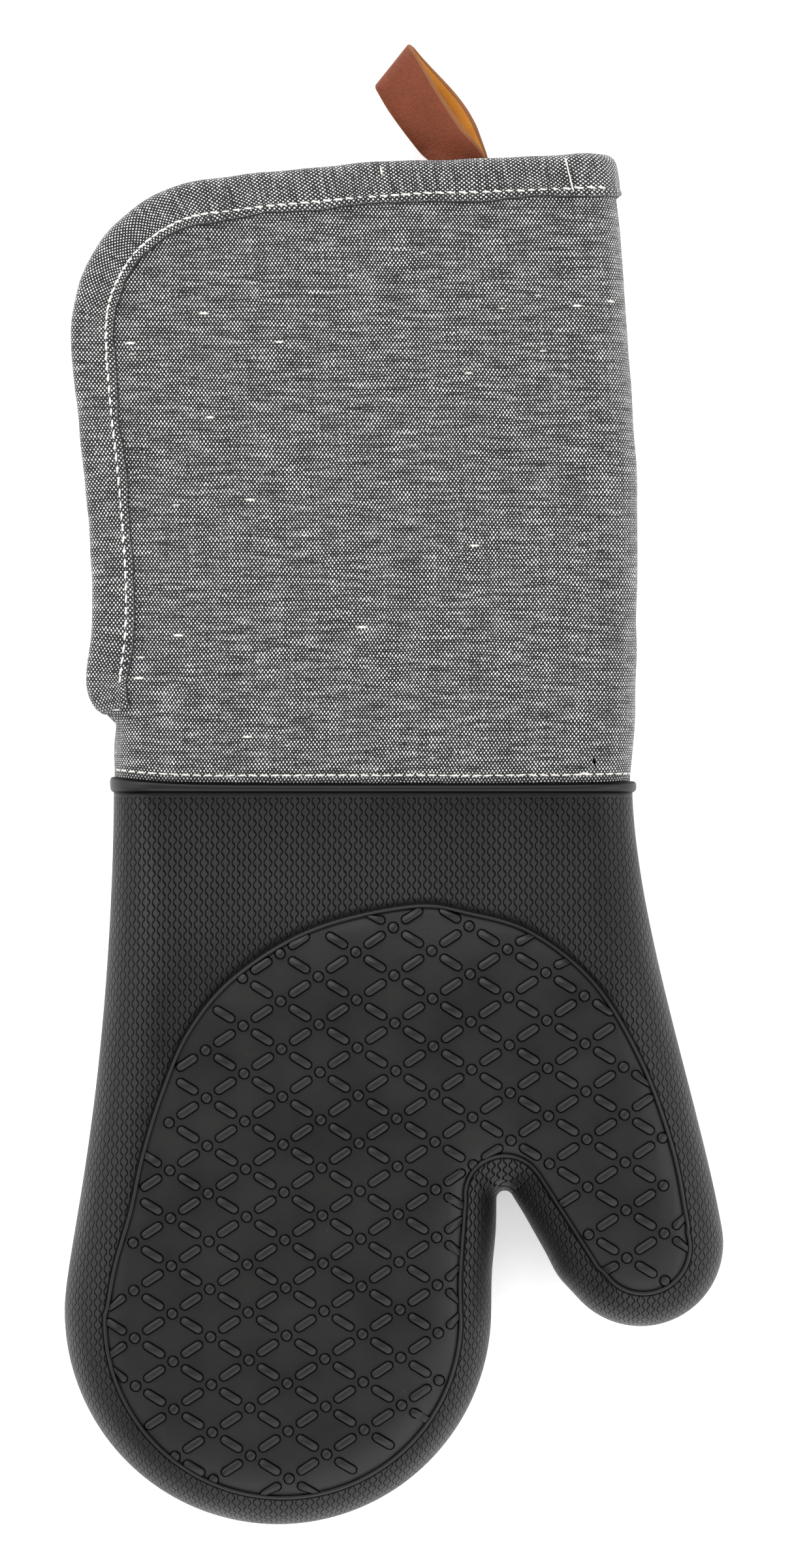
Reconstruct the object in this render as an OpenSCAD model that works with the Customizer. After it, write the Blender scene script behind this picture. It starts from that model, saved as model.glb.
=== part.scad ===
// Oven mitt: moulded silicone hand, padded woven cuff, leather hanging loop.
// It lies on its back: +X towards the thumb, +Y towards the cuff, +Z out of the palm.

/* [Hand] */
// Radius of the round fingertip end
finger_r = 57.3; // [48:0.1:66]
// Centre of the fingertip end, across
finger_x = -31; // [-36:0.5:-26]
// Centre of the fingertip end, along
finger_y = -141.3; // [-160:0.1:-130]
// Radius of the thumb's tip
thumb_r = 22.3; // [18:0.1:25]
// Centre of the thumb's tip, across
thumb_x = 66.3; // [60:0.1:72]
// Centre of the thumb's tip, along
thumb_y = -123.2; // [-130:0.1:-116]
// Where the gap between thumb and fingers ends, along
crotch_y = -109.2; // [-116:0.1:-102]
// Thickness over palm and back
hand_t = 34.8; // [30:0.1:42]
// Distance over which the tips round off
tip_round = 17; // [12:0.5:19]

/* [Mouth] */
// Distance from the middle line to the mouth's left side
mouth_left = 75.3; // [68:0.1:90]
// Distance from the middle line to the mouth's thumb side
mouth_right = 64.3; // [56:0.1:77]
// Height of the back above the bench at the mouth
mouth_z = 0.9; // [0.9:0.1:1.5]
// Thickness of the hand at the mouth
mouth_t = 23.2; // [22:0.1:26]
// How far above the mouth's middle the palm and back plies meet
ply_seam_rise = 5.55; // [4:0.05:6]

/* [Silicone] */
// Wall
wall = 2; // [1.6:0.1:2.4]
// How far the ridge, the grip field and the bead stand proud
proud = 1; // [0.8:0.1:1.2]
// Width of the ridge round the grip field
ridge_w = 1.8; // [1.4:0.1:3]
// Width of the bead round the mouth
bead_w = 2.2; // [1.6:0.1:3]
// Margin between the outline and the grip field at the tips
grip_margin = 9; // [7:0.1:11]
// Length of the sewing lip under the cuff
lip_len = 7; // [5:0.1:9]
// Thickness of the sewing lip
lip_t = 1.2; // [0.9:0.05:1.5]

/* [Cuff] */
// Length of the cuff from the mouth to its top edge
cuff_len = 166.4; // [135:0.1:200]
// Thickness of the cuff over both sides
cuff_t = 22; // [20:0.1:26]
// Radius of the top corner over the vent
corner_r = 40; // [30:0.5:45]
// Height of the vent's foot above the mouth
vent_foot = 18.4; // [14:0.1:24]
// Width of the edge binding
binding_w = 10.6; // [8:0.1:13]
// Thickness of the edge binding
binding_t = 0.85; // [0.6:0.05:0.9]
// Distance from the folded edge to its line of stitches
stitch_inset = 9; // [6:0.1:9.5]

/* [Plies] */
// Thickness of the cuff's woven cover
cover_t = 0.9; // [0.6:0.05:1.2]
// Thickness of the wadding in the hand
hand_wadding_t = 3; // [2:0.1:4]
// Thickness of the wadding in the cuff
cuff_wadding_t = 2.6; // [2:0.1:3.2]
// Thickness of the lining
lining_t = 0.8; // [0.5:0.05:1.2]
// Clearance between neighbouring plies
ply_gap = 0.05; // [0.03:0.01:0.1]

/* [Loop] */
// Width of the leather strap
strap_w = 15; // [12:0.5:18]
// Thickness of the leather strap
strap_t = 2; // [1.5:0.1:2.2]
// Reach of the loop from its seam to its fold
loop_reach = 27.5; // [26:0.5:38]
// Inner diameter of the fold
loop_eye = 7; // [6:0.1:8]
// Clearance between the loop's root and its sewn ends
loop_gap = 0.3; // [0.25:0.05:0.5]
// Length of the sewn ends below the seam
strap_tail = 9; // [7:0.5:12]

/* [Hidden] */

silicone_colour = "#2f2f2e";
wadding_colour = "#d8d4cc";
lining_colour = "#5c5b59";
chambray_colour = "#828180";
thread_colour = "#f2f0ec";
leather_colour = "#8c5740";

far = 300;                                   // beyond the part in any direction
section_n = 24;                              // corners of a cross-section
hand_z = 0.4 + hand_t / 2;                   // mid-height of the hand
mouth_mid_z = mouth_z + mouth_t / 2;         // mid-height of the mouth
ply_seam_z = mouth_mid_z + ply_seam_rise;    // where palm and back plies meet
thread_w = 0.7;                              // a stitch as it lies: width, thickness, length and spacing
thread_t = 0.35;
stitch_len = 3.2;
stitch_pitch = 4.2;
cuff_z = ply_gap + thread_t + binding_t + cuff_t / 2;        // mid-height of the cuff
taper_y = -60;                               // where the hand starts to thin towards the mouth
lining_in = cover_t + cuff_wadding_t + 2 * ply_gap;          // cover's face to the lining
cuff_plies = lining_in + lining_t;                           // whole cuff wall
hand_lining_in = wall + hand_wadding_t + 2 * ply_gap;        // shell's face to the hand lining
seam_y = -bead_w - 0.3;                      // where hand plies meet cuff plies
hem_y = 0.8;                                 // folded hem, just above the bead
strap_room = 1;                              // from the front edge's inner face to the strap
hinge = [18, cuff_len + 5.8, cuff_z + cuff_t / 2 - cuff_plies - binding_t - strap_t - strap_room];
loop_lean = 38;                              // how far the loop leans from +Y towards -X, degrees

// A cross-section in the XZ plane at y, squarer than an ellipse.
function section(y, left, right, mid_z, half_t, square) = [for (i = [0:section_n - 1])
    let (a = 360 * (i + 0.5) / section_n, c = cos(a), s = sin(a))
    [(left + right) / 2 + (right - left) / 2 * sign(c) * pow(abs(c), 2 / square), y,
        mid_z + half_t * sign(s) * pow(abs(s), 2 / square)]];

// The convex solid between two cross-sections.
module span(a, b) {
    hull() polyhedron(concat(a, b), [[for (i = [0:2 * section_n - 1]) i]]);
}

module loft(sections) {
    for (i = [1:len(sections) - 1]) span(sections[i - 1], sections[i]);
}

// How much of the full thickness is left at a distance d from a rounded tip.
function tip_share(d, round) = d >= round ? 1 : sqrt(max(0.02, 1 - pow(1 - d / round, 2)));

// Half-thickness and mid-height along the hand.
function mouth_share(y) = max(0, 1 - y / taper_y);
function hand_half(y) = (hand_t + (mouth_t - hand_t) * mouth_share(y)) / 2;
function hand_mid(y) = hand_z + (mouth_mid_z - hand_z) * mouth_share(y);

// Sides of palm and fingers without the thumb, at y, set in by k.
web_len = 55;                                // over this length palm and thumb grow into one
function palm_left(y, k) = y > finger_y
    ? -mouth_left - (finger_r - finger_x - mouth_left) * pow(max(0, y / finger_y), 1.6) + k
    : finger_x - sqrt(max(1, pow(finger_r - k, 2) - pow(y - finger_y, 2)));
function palm_right(y, k) = y > crotch_y
    ? 28 + (mouth_right - 28) * pow(min(1, (y - crotch_y) / web_len), 0.7) - k
    : y > finger_y ? 28 - (28 - finger_x - finger_r) * (y - crotch_y) / (finger_y - crotch_y) - k
    : finger_x + sqrt(max(1, pow(finger_r - k, 2) - pow(y - finger_y, 2)));

// Sides of the thumb at y, set in by k. Above the crotch its inner side is buried in the palm.
thumb_in_y = thumb_y - thumb_r / 2;          // where the thumb's inner side meets its round tip
thumb_in_x = thumb_x - thumb_r * cos(30);
thumb_out_y = thumb_y + thumb_r * sin(10);
thumb_out_x = thumb_x + thumb_r * cos(10);
function thumb_left(y, k) = y > crotch_y ? 31.6 - 60 * pow(min(1, (y - crotch_y) / web_len), 0.8) + k
    : y > thumb_in_y ? 31.6 + (thumb_in_x - 31.6) * (y - crotch_y) / (thumb_in_y - crotch_y) + k
    : thumb_x - sqrt(max(1, pow(thumb_r - k, 2) - pow(y - thumb_y, 2)));
function thumb_right(y, k) = y > thumb_out_y
    ? mouth_right + (thumb_out_x - mouth_right) * pow(max(0, y / thumb_out_y), 1.28) - k
    : thumb_x + sqrt(max(1, pow(thumb_r - k, 2) - pow(y - thumb_y, 2)));

palm_steps = concat([0, -30, -60, -80, -95, -103, crotch_y, -125],
    [for (a = [0:14:84]) finger_y - finger_r * sin(a)]);
thumb_steps = concat([0, -30, -60, -80, -95, -103, crotch_y, thumb_out_y],
    [for (a = [14:14:84]) thumb_y - thumb_r * sin(a)]);

// The hand, every face set in by k. Its cross-sections shift a little with k, so that no two of them coincide.
plane_shift = 0.03;
module hand(k) {
    palm = [for (s = palm_steps)
        let (y = plane_shift * k + (s < finger_y ? finger_y + (s - finger_y) * (finger_r - k) / finger_r : s),
        share = tip_share(y - k - (finger_y - finger_r), tip_round))
        section(y, palm_left(y, k), palm_right(y, k), hand_mid(y), (hand_half(y) - k) * share, 2.9)];
    thumb = [for (s = thumb_steps)
        let (y = plane_shift * k + (s < thumb_y ? thumb_y + (s - thumb_y) * (thumb_r - k) / thumb_r : s),
        share = tip_share(y - k - (thumb_y - thumb_r), tip_round))
        section(y, thumb_left(y, k), thumb_right(y, k), hand_mid(y), (hand_half(y) - k) * share, 2.6)];
    loft(palm);
    loft(thumb);
}

// Everything on one side of a plane square to Y.
module beyond(y) {
    translate([-far, y, -far]) cube(2 * far);
}

module before(y) {
    translate([-far, y - 2 * far, -far]) cube(2 * far);
}

module above(z) {
    translate([-far, -far, z]) cube(2 * far);
}

module below(z) {
    translate([-far, -far, z - 2 * far]) cube(2 * far);
}

// Upright block over a flat outline.
module through() {
    translate([0, 0, -5]) linear_extrude(60) children();
}

function arc(c, r, a, b, n) = [for (i = [0:n]) c + r * [cos(a + (b - a) * i / n), sin(a + (b - a) * i / n)]];

// A smooth curve through the points, n steps between each pair.
function curve(p, n) = concat([for (i = [0:len(p) - 2], j = [0:n - 1])
    let (t = j / n, a = p[max(i - 1, 0)], b = p[i], c = p[i + 1], d = p[min(i + 2, len(p) - 1)])
    0.5 * (2 * b + t * (c - a) + t * t * (2 * a - 5 * b + 4 * c - d) + t * t * t * (3 * b - a - 3 * c + d))],
    [p[len(p) - 1]]);

// Outline of the grip field: round at the tips, arched towards the mouth.
grip_finger_r = finger_r - grip_margin;
grip_thumb_r = thumb_r - grip_margin;
function grip_outline() = concat(
    arc([finger_x, finger_y], grip_finger_r, 184, 356, 12),
    arc([29.5, crotch_y], 9.5, 170, 30, 6),
    arc([thumb_x, thumb_y], grip_thumb_r, 210, 370, 8),
    curve([[75.2, -96.6], [66.8, -73.5], [54.2, -52.5], [37.4, -38.9], [5, -31.7], [-21.4, -37.8],
        [-42.4, -50.4], [-62.4, -81.9], [-73.5, -122]], 3));

// ---- silicone ----

module silicone_shell() color(silicone_colour) {
    difference() {
        intersection() {
            union() {
                intersection() {
                    hand(0);
                    before(-bead_w / 2);
                }
                intersection() {
                    hand(-proud);
                    union() {
                        intersection() {
                            through() difference() {
                                polygon(grip_outline());
                                offset(delta = -ridge_w) polygon(grip_outline());
                            }
                            above(hand_z);
                        }
                        intersection() {
                            through() polygon(grip_outline());
                            below(hand_z);
                        }
                        difference() {
                            before(0);
                            before(-bead_w);
                        }
                    }
                }
                intersection() {
                    cuff_tube(cover_t + ply_gap);
                    beyond(-bead_w);
                    before(lip_len);
                }
            }
            above(0);
        }
        intersection() {
            hand(wall);
            before(-bead_w);
        }
        intersection() {
            cuff_tube(cover_t + ply_gap + lip_t);
            beyond(-bead_w - wall);
        }
    }
}

// One ply of the hand between two depths below the shell's face.
module hand_ply(outer, inner) {
    difference() {
        hand(outer);
        hand(inner);
        beyond(seam_y);
    }
}

module palm_wadding() color(wadding_colour) intersection() {
    hand_ply(wall + ply_gap, wall + ply_gap + hand_wadding_t);
    above(ply_seam_z + ply_gap);
}

module back_wadding() color(wadding_colour) intersection() {
    hand_ply(wall + ply_gap, wall + ply_gap + hand_wadding_t);
    below(ply_seam_z - ply_gap);
}

module palm_lining() color(lining_colour) intersection() {
    hand_ply(hand_lining_in, hand_lining_in + lining_t);
    above(ply_seam_z + ply_gap);
}

module back_lining() color(lining_colour) intersection() {
    hand_ply(hand_lining_in, hand_lining_in + lining_t);
    below(ply_seam_z - ply_gap);
}

// ---- cuff ----

function cuff_right(y) = mouth_right + 1 - 0.35 * pow(abs(y - 50) / 24, 1.8);

// The cuff as a flat tube, every face set in by k. Above the vent's foot it runs on past the left edge.
slit = 0.2;                                  // the tube opens over this much, just below the vent's foot

module cuff_tube(k) {
    steps = [-bead_w - 4, vent_foot - 1.5 * slit, vent_foot - slit / 2, 0.33 * cuff_len, 0.66 * cuff_len, cuff_len + 12];
    loft([for (y = steps) section(y, y < vent_foot - slit ? -mouth_left + k : -mouth_left - 45, cuff_right(y) - k,
        cuff_z, cuff_t / 2 - k, 3.2)]);
}

// The bound edge, from the vent's foot up the side, round the corner and along the top.
vent_out = 6.4;                              // how far the vent's edge stands out from the closed side
corner_c = [-46, cuff_len - 4.4 - corner_r];
bound_edge = concat(
    curve([[-mouth_left, vent_foot], [-mouth_left - 4.2, vent_foot + 2.8], [-mouth_left - vent_out, vent_foot + 10],
        [-mouth_left - 5, vent_foot + 24], [-mouth_left - 5.2, vent_foot + 44], [-mouth_left - 8.2, vent_foot + 70],
        [corner_c.x - corner_r, corner_c.y - 8]], 3),
    arc(corner_c, corner_r, 180, 96, 8),
    curve([[-15, cuff_len - 0.9], [25, cuff_len + 0.9], [60, cuff_len + 2], [90, cuff_len + 2]], 2));

// The path moved d to its right-hand side, which is towards the cuff's middle.
function moved(p, d) = [for (i = [0:len(p) - 1])
    let (t = p[min(i + 1, len(p) - 1)] - p[max(i - 1, 0)], u = t / norm(t)) p[i] + d * [u.y, -u.x]];

module cuff_face(edge, y) {
    polygon(concat([[-mouth_left - 20, y], [-mouth_left - 20, vent_foot - 2 * slit], [-mouth_left, vent_foot - 2 * slit]],
        moved(bound_edge, edge), [[90, y]]));
}

// One ply of the cuff between two depths below the cover's face, from y up.
module cuff_ply(outer, inner, edge, y) {
    intersection() {
        difference() {
            cuff_tube(outer);
            cuff_tube(inner);
        }
        through() cuff_face(edge, y);
    }
}

ply_edge = binding_t + ply_gap;              // panels end this far inside the bound edge

module cuff_cover() color(chambray_colour) cuff_ply(0, cover_t, ply_edge, hem_y);

module cuff_wadding() {
    difference() {
        cuff_ply(cover_t + ply_gap, lining_in - ply_gap, ply_edge, hem_y);
        intersection() {
            cuff_tube(cover_t);
            before(lip_len + ply_gap);
        }
    }
}

module front_cuff_wadding() color(wadding_colour) intersection() {
    cuff_wadding();
    above(cuff_z + ply_gap);
}

module back_cuff_wadding() color(wadding_colour) intersection() {
    cuff_wadding();
    below(cuff_z - ply_gap);
}

module cuff_lining() color(lining_colour) cuff_ply(lining_in, cuff_plies, ply_edge, seam_y + ply_gap);

module edge_binding() color(chambray_colour) difference() {
    intersection() {
        difference() {
            cuff_tube(-binding_t);
            cuff_tube(cuff_plies + binding_t);
        }
        through() difference() {
            cuff_face(0, -far);
            offset(r = -binding_w) cuff_face(0, -far);
        }
        beyond(vent_foot + slit / 4);
        above(0);
    }
    intersection() {
        difference() {
            cuff_tube(-ply_gap);
            cuff_tube(cuff_plies + ply_gap);
        }
        through() cuff_face(ply_edge - ply_gap, hem_y);
    }
}

// ---- stitches ----

// The point at a distance s along a path, and the path's heading there.
function point_at(p, s, i = 0) = let (d = norm(p[i + 1] - p[i]))
    s <= d || i >= len(p) - 2 ? p[i] + (p[i + 1] - p[i]) * s / d : point_at(p, s - d, i + 1);
function heading_at(p, s, i = 0) = let (v = p[i + 1] - p[i], d = norm(v))
    s <= d || i >= len(p) - 2 ? atan2(v.y, v.x) : heading_at(p, s - d, i + 1);
function path_length(p) = [for (i = 0, s = 0; i < len(p); s = s + (i + 1 < len(p) ? norm(p[i + 1] - p[i]) : 0), i = i + 1)
    s][len(p) - 1];

module stitch_row(path, first, last) {
    for (s = [first:stitch_pitch:last])
        translate(point_at(path, s)) rotate(heading_at(path, s)) square([stitch_len, thread_w], center = true);
}

// Threads lie in a thin skin over a face that is set in by k.
module thread_skin(k) {
    difference() {
        cuff_tube(k - ply_gap - thread_t);
        cuff_tube(k - ply_gap);
    }
}

stitch_path = moved(bound_edge, stitch_inset);
stitch_end = path_length(stitch_path) - (90 - cuff_right(cuff_len)) - 6;

module binding_stitches() {
    intersection() {
        thread_skin(-binding_t);
        through() stitch_row(stitch_path, 9, stitch_end);
    }
}

module front_binding_stitches() color(thread_colour) intersection() {
    binding_stitches();
    above(cuff_z);
}

module back_binding_stitches() color(thread_colour) intersection() {
    binding_stitches();
    below(cuff_z);
}

module hem_stitches() color(thread_colour) intersection() {
    thread_skin(0);
    through() stitch_row([[-mouth_left + 6, hem_y + 2.2], [mouth_right - 6, hem_y + 2.2]], 0,
        mouth_left + mouth_right - 12);
}

module vent_bar_tack() color(thread_colour) intersection() {
    thread_skin(-binding_t);
    through() translate([-mouth_left + 0.5, vent_foot + 6]) for (i = [-2:2]) translate([0, i * 1.1]) square([6, 0.8], center = true);
    above(cuff_z);
}

module binding_end_tack() color(thread_colour) intersection() {
    thread_skin(-binding_t);
    through() translate([cuff_right(cuff_len) - 13, cuff_len - 3]) for (i = [-3:3]) translate([0, i * 1.1]) square([3, 0.8], center = true);
    above(cuff_z);
}

// ---- hanging loop ----

root_r = strap_t + 0.2;                      // both legs together, half
eye_r = loop_eye / 2;

module strap_ends() color(leather_colour) {
    translate([hinge.x - strap_w / 2, hinge.y - root_r - loop_gap - strap_tail, hinge.z - root_r])
        cube([strap_w, strap_tail, 2 * root_r]);
}

parting = 9;                                 // where the legs have parted by the width below
parted_r = 2.2;

// Side view of the loop: two legs that part towards a round fold, all grown by t.
module loop_eye_side(t) {
    hull() {
        translate([parting, 0]) circle(r = parted_r + t);
        translate([loop_reach - eye_r - strap_t, 0]) circle(r = eye_r + t);
    }
}

module loop_side() {
    difference() {
        union() {
            hull() {
                circle(r = root_r);
                translate([parting, 0]) circle(r = parted_r + strap_t);
            }
            loop_eye_side(strap_t);
        }
        loop_eye_side(0);
    }
}

module hanging_loop() color(leather_colour) {
    translate(hinge) {
        rotate([0, 90, 0]) cylinder(h = strap_w - 1, r = root_r, center = true);
        difference() {
            rotate([0, 0, 90 + loop_lean]) rotate([90, 0, 0]) linear_extrude(strap_w, center = true) loop_side();
            translate([-far, -2 * far, -far]) cube(2 * far);
            for (side = [-1, 1])
                translate([-far, -2 * far + root_r + 2 * loop_gap, side * (far + root_r) - far]) cube(2 * far);
        }
    }
}

module strap_stitches() color(thread_colour) {
    for (x = [-4.5:3:4.5])
        translate([hinge.x + x, hinge.y - root_r - loop_gap - strap_tail / 2, hinge.z - root_r - ply_gap - thread_t / 2])
            cube([thread_w, stitch_len, thread_t], center = true);
}

silicone_shell();
palm_wadding();
back_wadding();
palm_lining();
back_lining();
cuff_cover();
front_cuff_wadding();
back_cuff_wadding();
cuff_lining();
edge_binding();
hem_stitches();
front_binding_stitches();
back_binding_stitches();
vent_bar_tack();
binding_end_tack();
strap_ends();
strap_stitches();
hanging_loop();
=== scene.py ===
"""Oven mitt: moulded silicone hand, padded woven cuff and a leather hanging loop.

Lengths are millimetres until a piece is finished, when its mesh goes to metres.
"""

import logging
import math
from dataclasses import dataclass
from enum import Enum
from typing import Any, Callable, Sequence

import bmesh
import bpy
import numpy as np
from bmesh.types import BMesh, BMVert
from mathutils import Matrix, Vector

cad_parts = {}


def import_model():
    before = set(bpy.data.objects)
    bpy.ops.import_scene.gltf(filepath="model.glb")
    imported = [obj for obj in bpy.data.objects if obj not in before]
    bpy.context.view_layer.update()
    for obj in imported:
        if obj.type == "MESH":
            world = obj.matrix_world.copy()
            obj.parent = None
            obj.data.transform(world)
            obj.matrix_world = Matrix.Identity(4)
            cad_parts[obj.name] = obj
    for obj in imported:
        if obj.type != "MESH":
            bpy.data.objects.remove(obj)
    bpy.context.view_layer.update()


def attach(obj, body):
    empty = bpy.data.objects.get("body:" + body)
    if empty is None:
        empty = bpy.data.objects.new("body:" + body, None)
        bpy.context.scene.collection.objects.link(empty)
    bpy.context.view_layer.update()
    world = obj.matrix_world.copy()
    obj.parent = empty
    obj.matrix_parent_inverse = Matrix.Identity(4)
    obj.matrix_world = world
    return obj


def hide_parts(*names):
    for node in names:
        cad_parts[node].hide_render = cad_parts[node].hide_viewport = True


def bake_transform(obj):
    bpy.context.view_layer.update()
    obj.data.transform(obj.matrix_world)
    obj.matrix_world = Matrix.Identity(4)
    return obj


LOG = logging.getLogger("mitt")
MM = 0.001
Outline = Sequence[Sequence[float]]


class Side(Enum):
    """The two faces of the mitt as it lies."""

    FRONT = 1
    BACK = -1


# ---- plane curves ----


def arc(centre: Sequence[float], radius: float, start: float, end: float, count: int) -> np.ndarray:
    """Points on an arc, its end left out.

    Args:
        centre: Middle of the circle.
        radius: Its radius.
        start: First angle in degrees.
        end: Last angle in degrees.
        count: Number of points.

    Returns:
        The points, one row each.
    """
    angle = np.radians(start + (end - start) * np.arange(count) / count)
    return np.stack([centre[0] + radius * np.cos(angle), centre[1] + radius * np.sin(angle)], 1)


def line(a: Sequence[float], b: Sequence[float], count: int) -> np.ndarray:
    """Points on a straight line from a, its end b left out."""
    share = (np.arange(count) / count)[:, None]
    return np.array(a, float) * (1 - share) + np.array(b, float) * share


def bezier(a: Sequence[float], b: Sequence[float], c: Sequence[float], d: Sequence[float],
           count: int) -> np.ndarray:
    """Points on a cubic Bezier curve, its end left out."""
    t = (np.arange(count) / count)[:, None]
    a, b, c, d = (np.array(p, float) for p in (a, b, c, d))
    return a * (1 - t) ** 3 + 3 * b * t * (1 - t) ** 2 + 3 * c * t ** 2 * (1 - t) + d * t ** 3


def resample(path: np.ndarray, count: int, with_end: bool = False) -> np.ndarray:
    """The same path with evenly spaced points.

    Args:
        path: Points of the path.
        count: Number of steps.
        with_end: Whether the last point is kept.

    Returns:
        The new points.
    """
    step = np.linalg.norm(np.diff(path, axis=0), axis=1)
    at = np.concatenate([[0], np.cumsum(step)])
    want = np.linspace(0, at[-1], count + 1)
    want = want if with_end else want[:-1]
    return np.stack([np.interp(want, at, path[:, k]) for k in range(path.shape[1])], 1)


def smooth_curve(points: Outline, per_span: int = 12) -> np.ndarray:
    """A smooth curve through the points, both ends kept."""
    p = np.array(points, float)
    p = np.concatenate([[2 * p[0] - p[1]], p, [2 * p[-1] - p[-2]]])
    t = (np.arange(per_span) / per_span)[:, None]
    spans = []
    for a, b, c, d in zip(p, p[1:], p[2:], p[3:]):
        spans.append(0.5 * (2 * b + t * (c - a) + t * t * (2 * a - 5 * b + 4 * c - d)
                            + t ** 3 * (3 * b - a - 3 * c + d)))
    return np.concatenate(spans + [p[-2:-1]])


def through(points: Outline, count: int, with_end: bool = False) -> np.ndarray:
    """Evenly spaced points on a smooth curve through the given ones."""
    return resample(smooth_curve(points), count, with_end)


def left_normals(path: np.ndarray, closed: bool) -> np.ndarray:
    """Unit vectors square to a path, on its left-hand side."""
    if closed:
        along = np.roll(path, -1, 0) - np.roll(path, 1, 0)
    else:
        along = np.gradient(path, axis=0)
    square = np.stack([-along[:, 1], along[:, 0]], 1)
    return square / np.maximum(np.linalg.norm(square, axis=1), 1e-9)[:, None]


def nearest_on(points: np.ndarray, path: np.ndarray) -> tuple[np.ndarray, np.ndarray]:
    """Distance from each point to a path, and the nearest place on it."""
    a, ab = path[:-1], np.diff(path, axis=0)
    far, place = [], []
    for part in np.array_split(points, max(1, len(points) // 1500)):
        t = ((part[:, None] - a) * ab).sum(2) / np.maximum((ab * ab).sum(1), 1e-12)
        q = a + np.clip(t, 0, 1)[..., None] * ab
        d = np.linalg.norm(part[:, None] - q, axis=2)
        best = d.argmin(1)
        rows = np.arange(len(part))
        far.append(d[rows, best])
        place.append(q[rows, best])
    return np.concatenate(far), np.concatenate(place)


def inside(points: np.ndarray, loop: np.ndarray) -> np.ndarray:
    """Which points lie within a closed loop."""
    x, y = points[:, 0][:, None], points[:, 1][:, None]
    x0, y0 = loop[:, 0], loop[:, 1]
    x1, y1 = np.roll(x0, -1), np.roll(y0, -1)
    rise = np.where(y1 == y0, 1e-12, y1 - y0)
    crosses = ((y0 > y) != (y1 > y)) & (x < x0 + (y - y0) / rise * (x1 - x0))
    return crosses.sum(1) % 2 == 1


def ease(x: np.ndarray | float, low: float, high: float) -> np.ndarray | float:
    """0 below low, 1 above high, smooth between."""
    t = np.clip((np.asarray(x, float) - low) / (high - low), 0, 1)
    return t * t * (3 - 2 * t)


def ripple(x: np.ndarray, y: np.ndarray, wave: float, seed: int) -> np.ndarray:
    """A soft uneven height between about -1 and 1.

    Args:
        x: First coordinate.
        y: Second coordinate.
        wave: Typical length of a bump.
        seed: Chooses the pattern.

    Returns:
        The height at each point.
    """
    chance = np.random.default_rng(seed)
    total = np.zeros_like(np.asarray(x, float))
    for _ in range(7):
        angle, phase = chance.uniform(0, 2 * math.pi, 2)
        k = 2 * math.pi / wave * chance.uniform(0.6, 1.5)
        total += np.sin(k * (x * math.cos(angle) + y * math.sin(angle)) + phase)
    return total / 3.5


# ---- meshes ----


def grow_ring(bm: BMesh, loop: list[BMVert], places: np.ndarray) -> list[BMVert]:
    """Extrudes a closed loop of vertices to new places.

    Args:
        bm: The mesh.
        loop: The loop's vertices in order.
        places: A place for each new vertex.

    Returns:
        The new loop, in the same order.
    """
    edges = [bm.edges.get((a, b)) for a, b in zip(loop, loop[1:] + loop[:1])]
    made = bmesh.ops.extrude_edge_only(bm, edges=edges)["geom"]
    fresh = {v for v in made if isinstance(v, BMVert)}
    grown = [next(e.other_vert(v) for e in v.link_edges if e.other_vert(v) in fresh) for v in loop]
    for v, place in zip(grown, places):
        v.co = place
    return grown


def first_ring(bm: BMesh, places: np.ndarray) -> list[BMVert]:
    """A closed loop of edges through the given places, in order."""
    made = bmesh.ops.create_circle(bm, segments=len(places), radius=1)["verts"]
    start = made[0]
    loop, before = [start], None
    while len(loop) < len(made):
        options = [e.other_vert(loop[-1]) for e in loop[-1].link_edges]
        step = next(v for v in options if v is not before and v is not start or (before is None))
        before = loop[-1]
        loop.append(step)
    for v, place in zip(loop, places):
        v.co = place
    return loop


def cut_in_grid(bm: BMesh, xs: Sequence[float], ys: Sequence[float], index: int = 1) -> None:
    """Cuts the faces that carry a material index along lines of X and of Y."""
    for axis, stations in ((0, xs), (1, ys)):
        normal = Vector((1, 0, 0)) if axis == 0 else Vector((0, 1, 0))
        for at in stations:
            faces = [f for f in bm.faces if f.material_index == index
                     and min(v.co[axis] for v in f.verts) < at < max(v.co[axis] for v in f.verts)]
            if not faces:
                continue
            edges = {e for f in faces for e in f.edges}
            verts = {v for f in faces for v in f.verts}
            bmesh.ops.bisect_plane(bm, geom=[*faces, *edges, *verts], dist=1e-4,
                                   plane_co=normal * at, plane_no=normal)


def finish_piece(bm: BMesh, name: str, body: str | None, materials: Sequence[bpy.types.Material],
                 stands_for: Sequence[str] = ()) -> bpy.types.Object:
    """Turns a mesh in millimetres into a piece of the mitt.

    Args:
        bm: The mesh, which is freed.
        name: The piece's name.
        body: The body it rides on, or None to leave it unattached.
        materials: Its materials in order.
        stands_for: CAD nodes that it replaces.

    Returns:
        The piece.
    """
    bmesh.ops.scale(bm, vec=(MM, MM, MM), verts=bm.verts)
    for face in bm.faces:
        face.smooth = True
    mesh = bpy.data.meshes.new(name)
    bm.to_mesh(mesh)
    bm.free()
    piece = bpy.data.objects.new(name, mesh)
    bpy.context.scene.collection.objects.link(piece)
    for material in materials:
        mesh.materials.append(material)
    if body:
        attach(piece, body)
    if stands_for:
        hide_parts(*stands_for)
    LOG.info("%s: %d faces", name, len(mesh.polygons))
    return piece


def wall(piece: bpy.types.Object, thickness: float, offset: float = -1) -> None:
    """Gives an open skin a wall, in millimetres."""
    solid = piece.modifiers.new("wall", "SOLIDIFY")
    solid.thickness = thickness * MM
    solid.offset = offset
    solid.use_even_offset = False
    solid.use_rim = True


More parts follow.
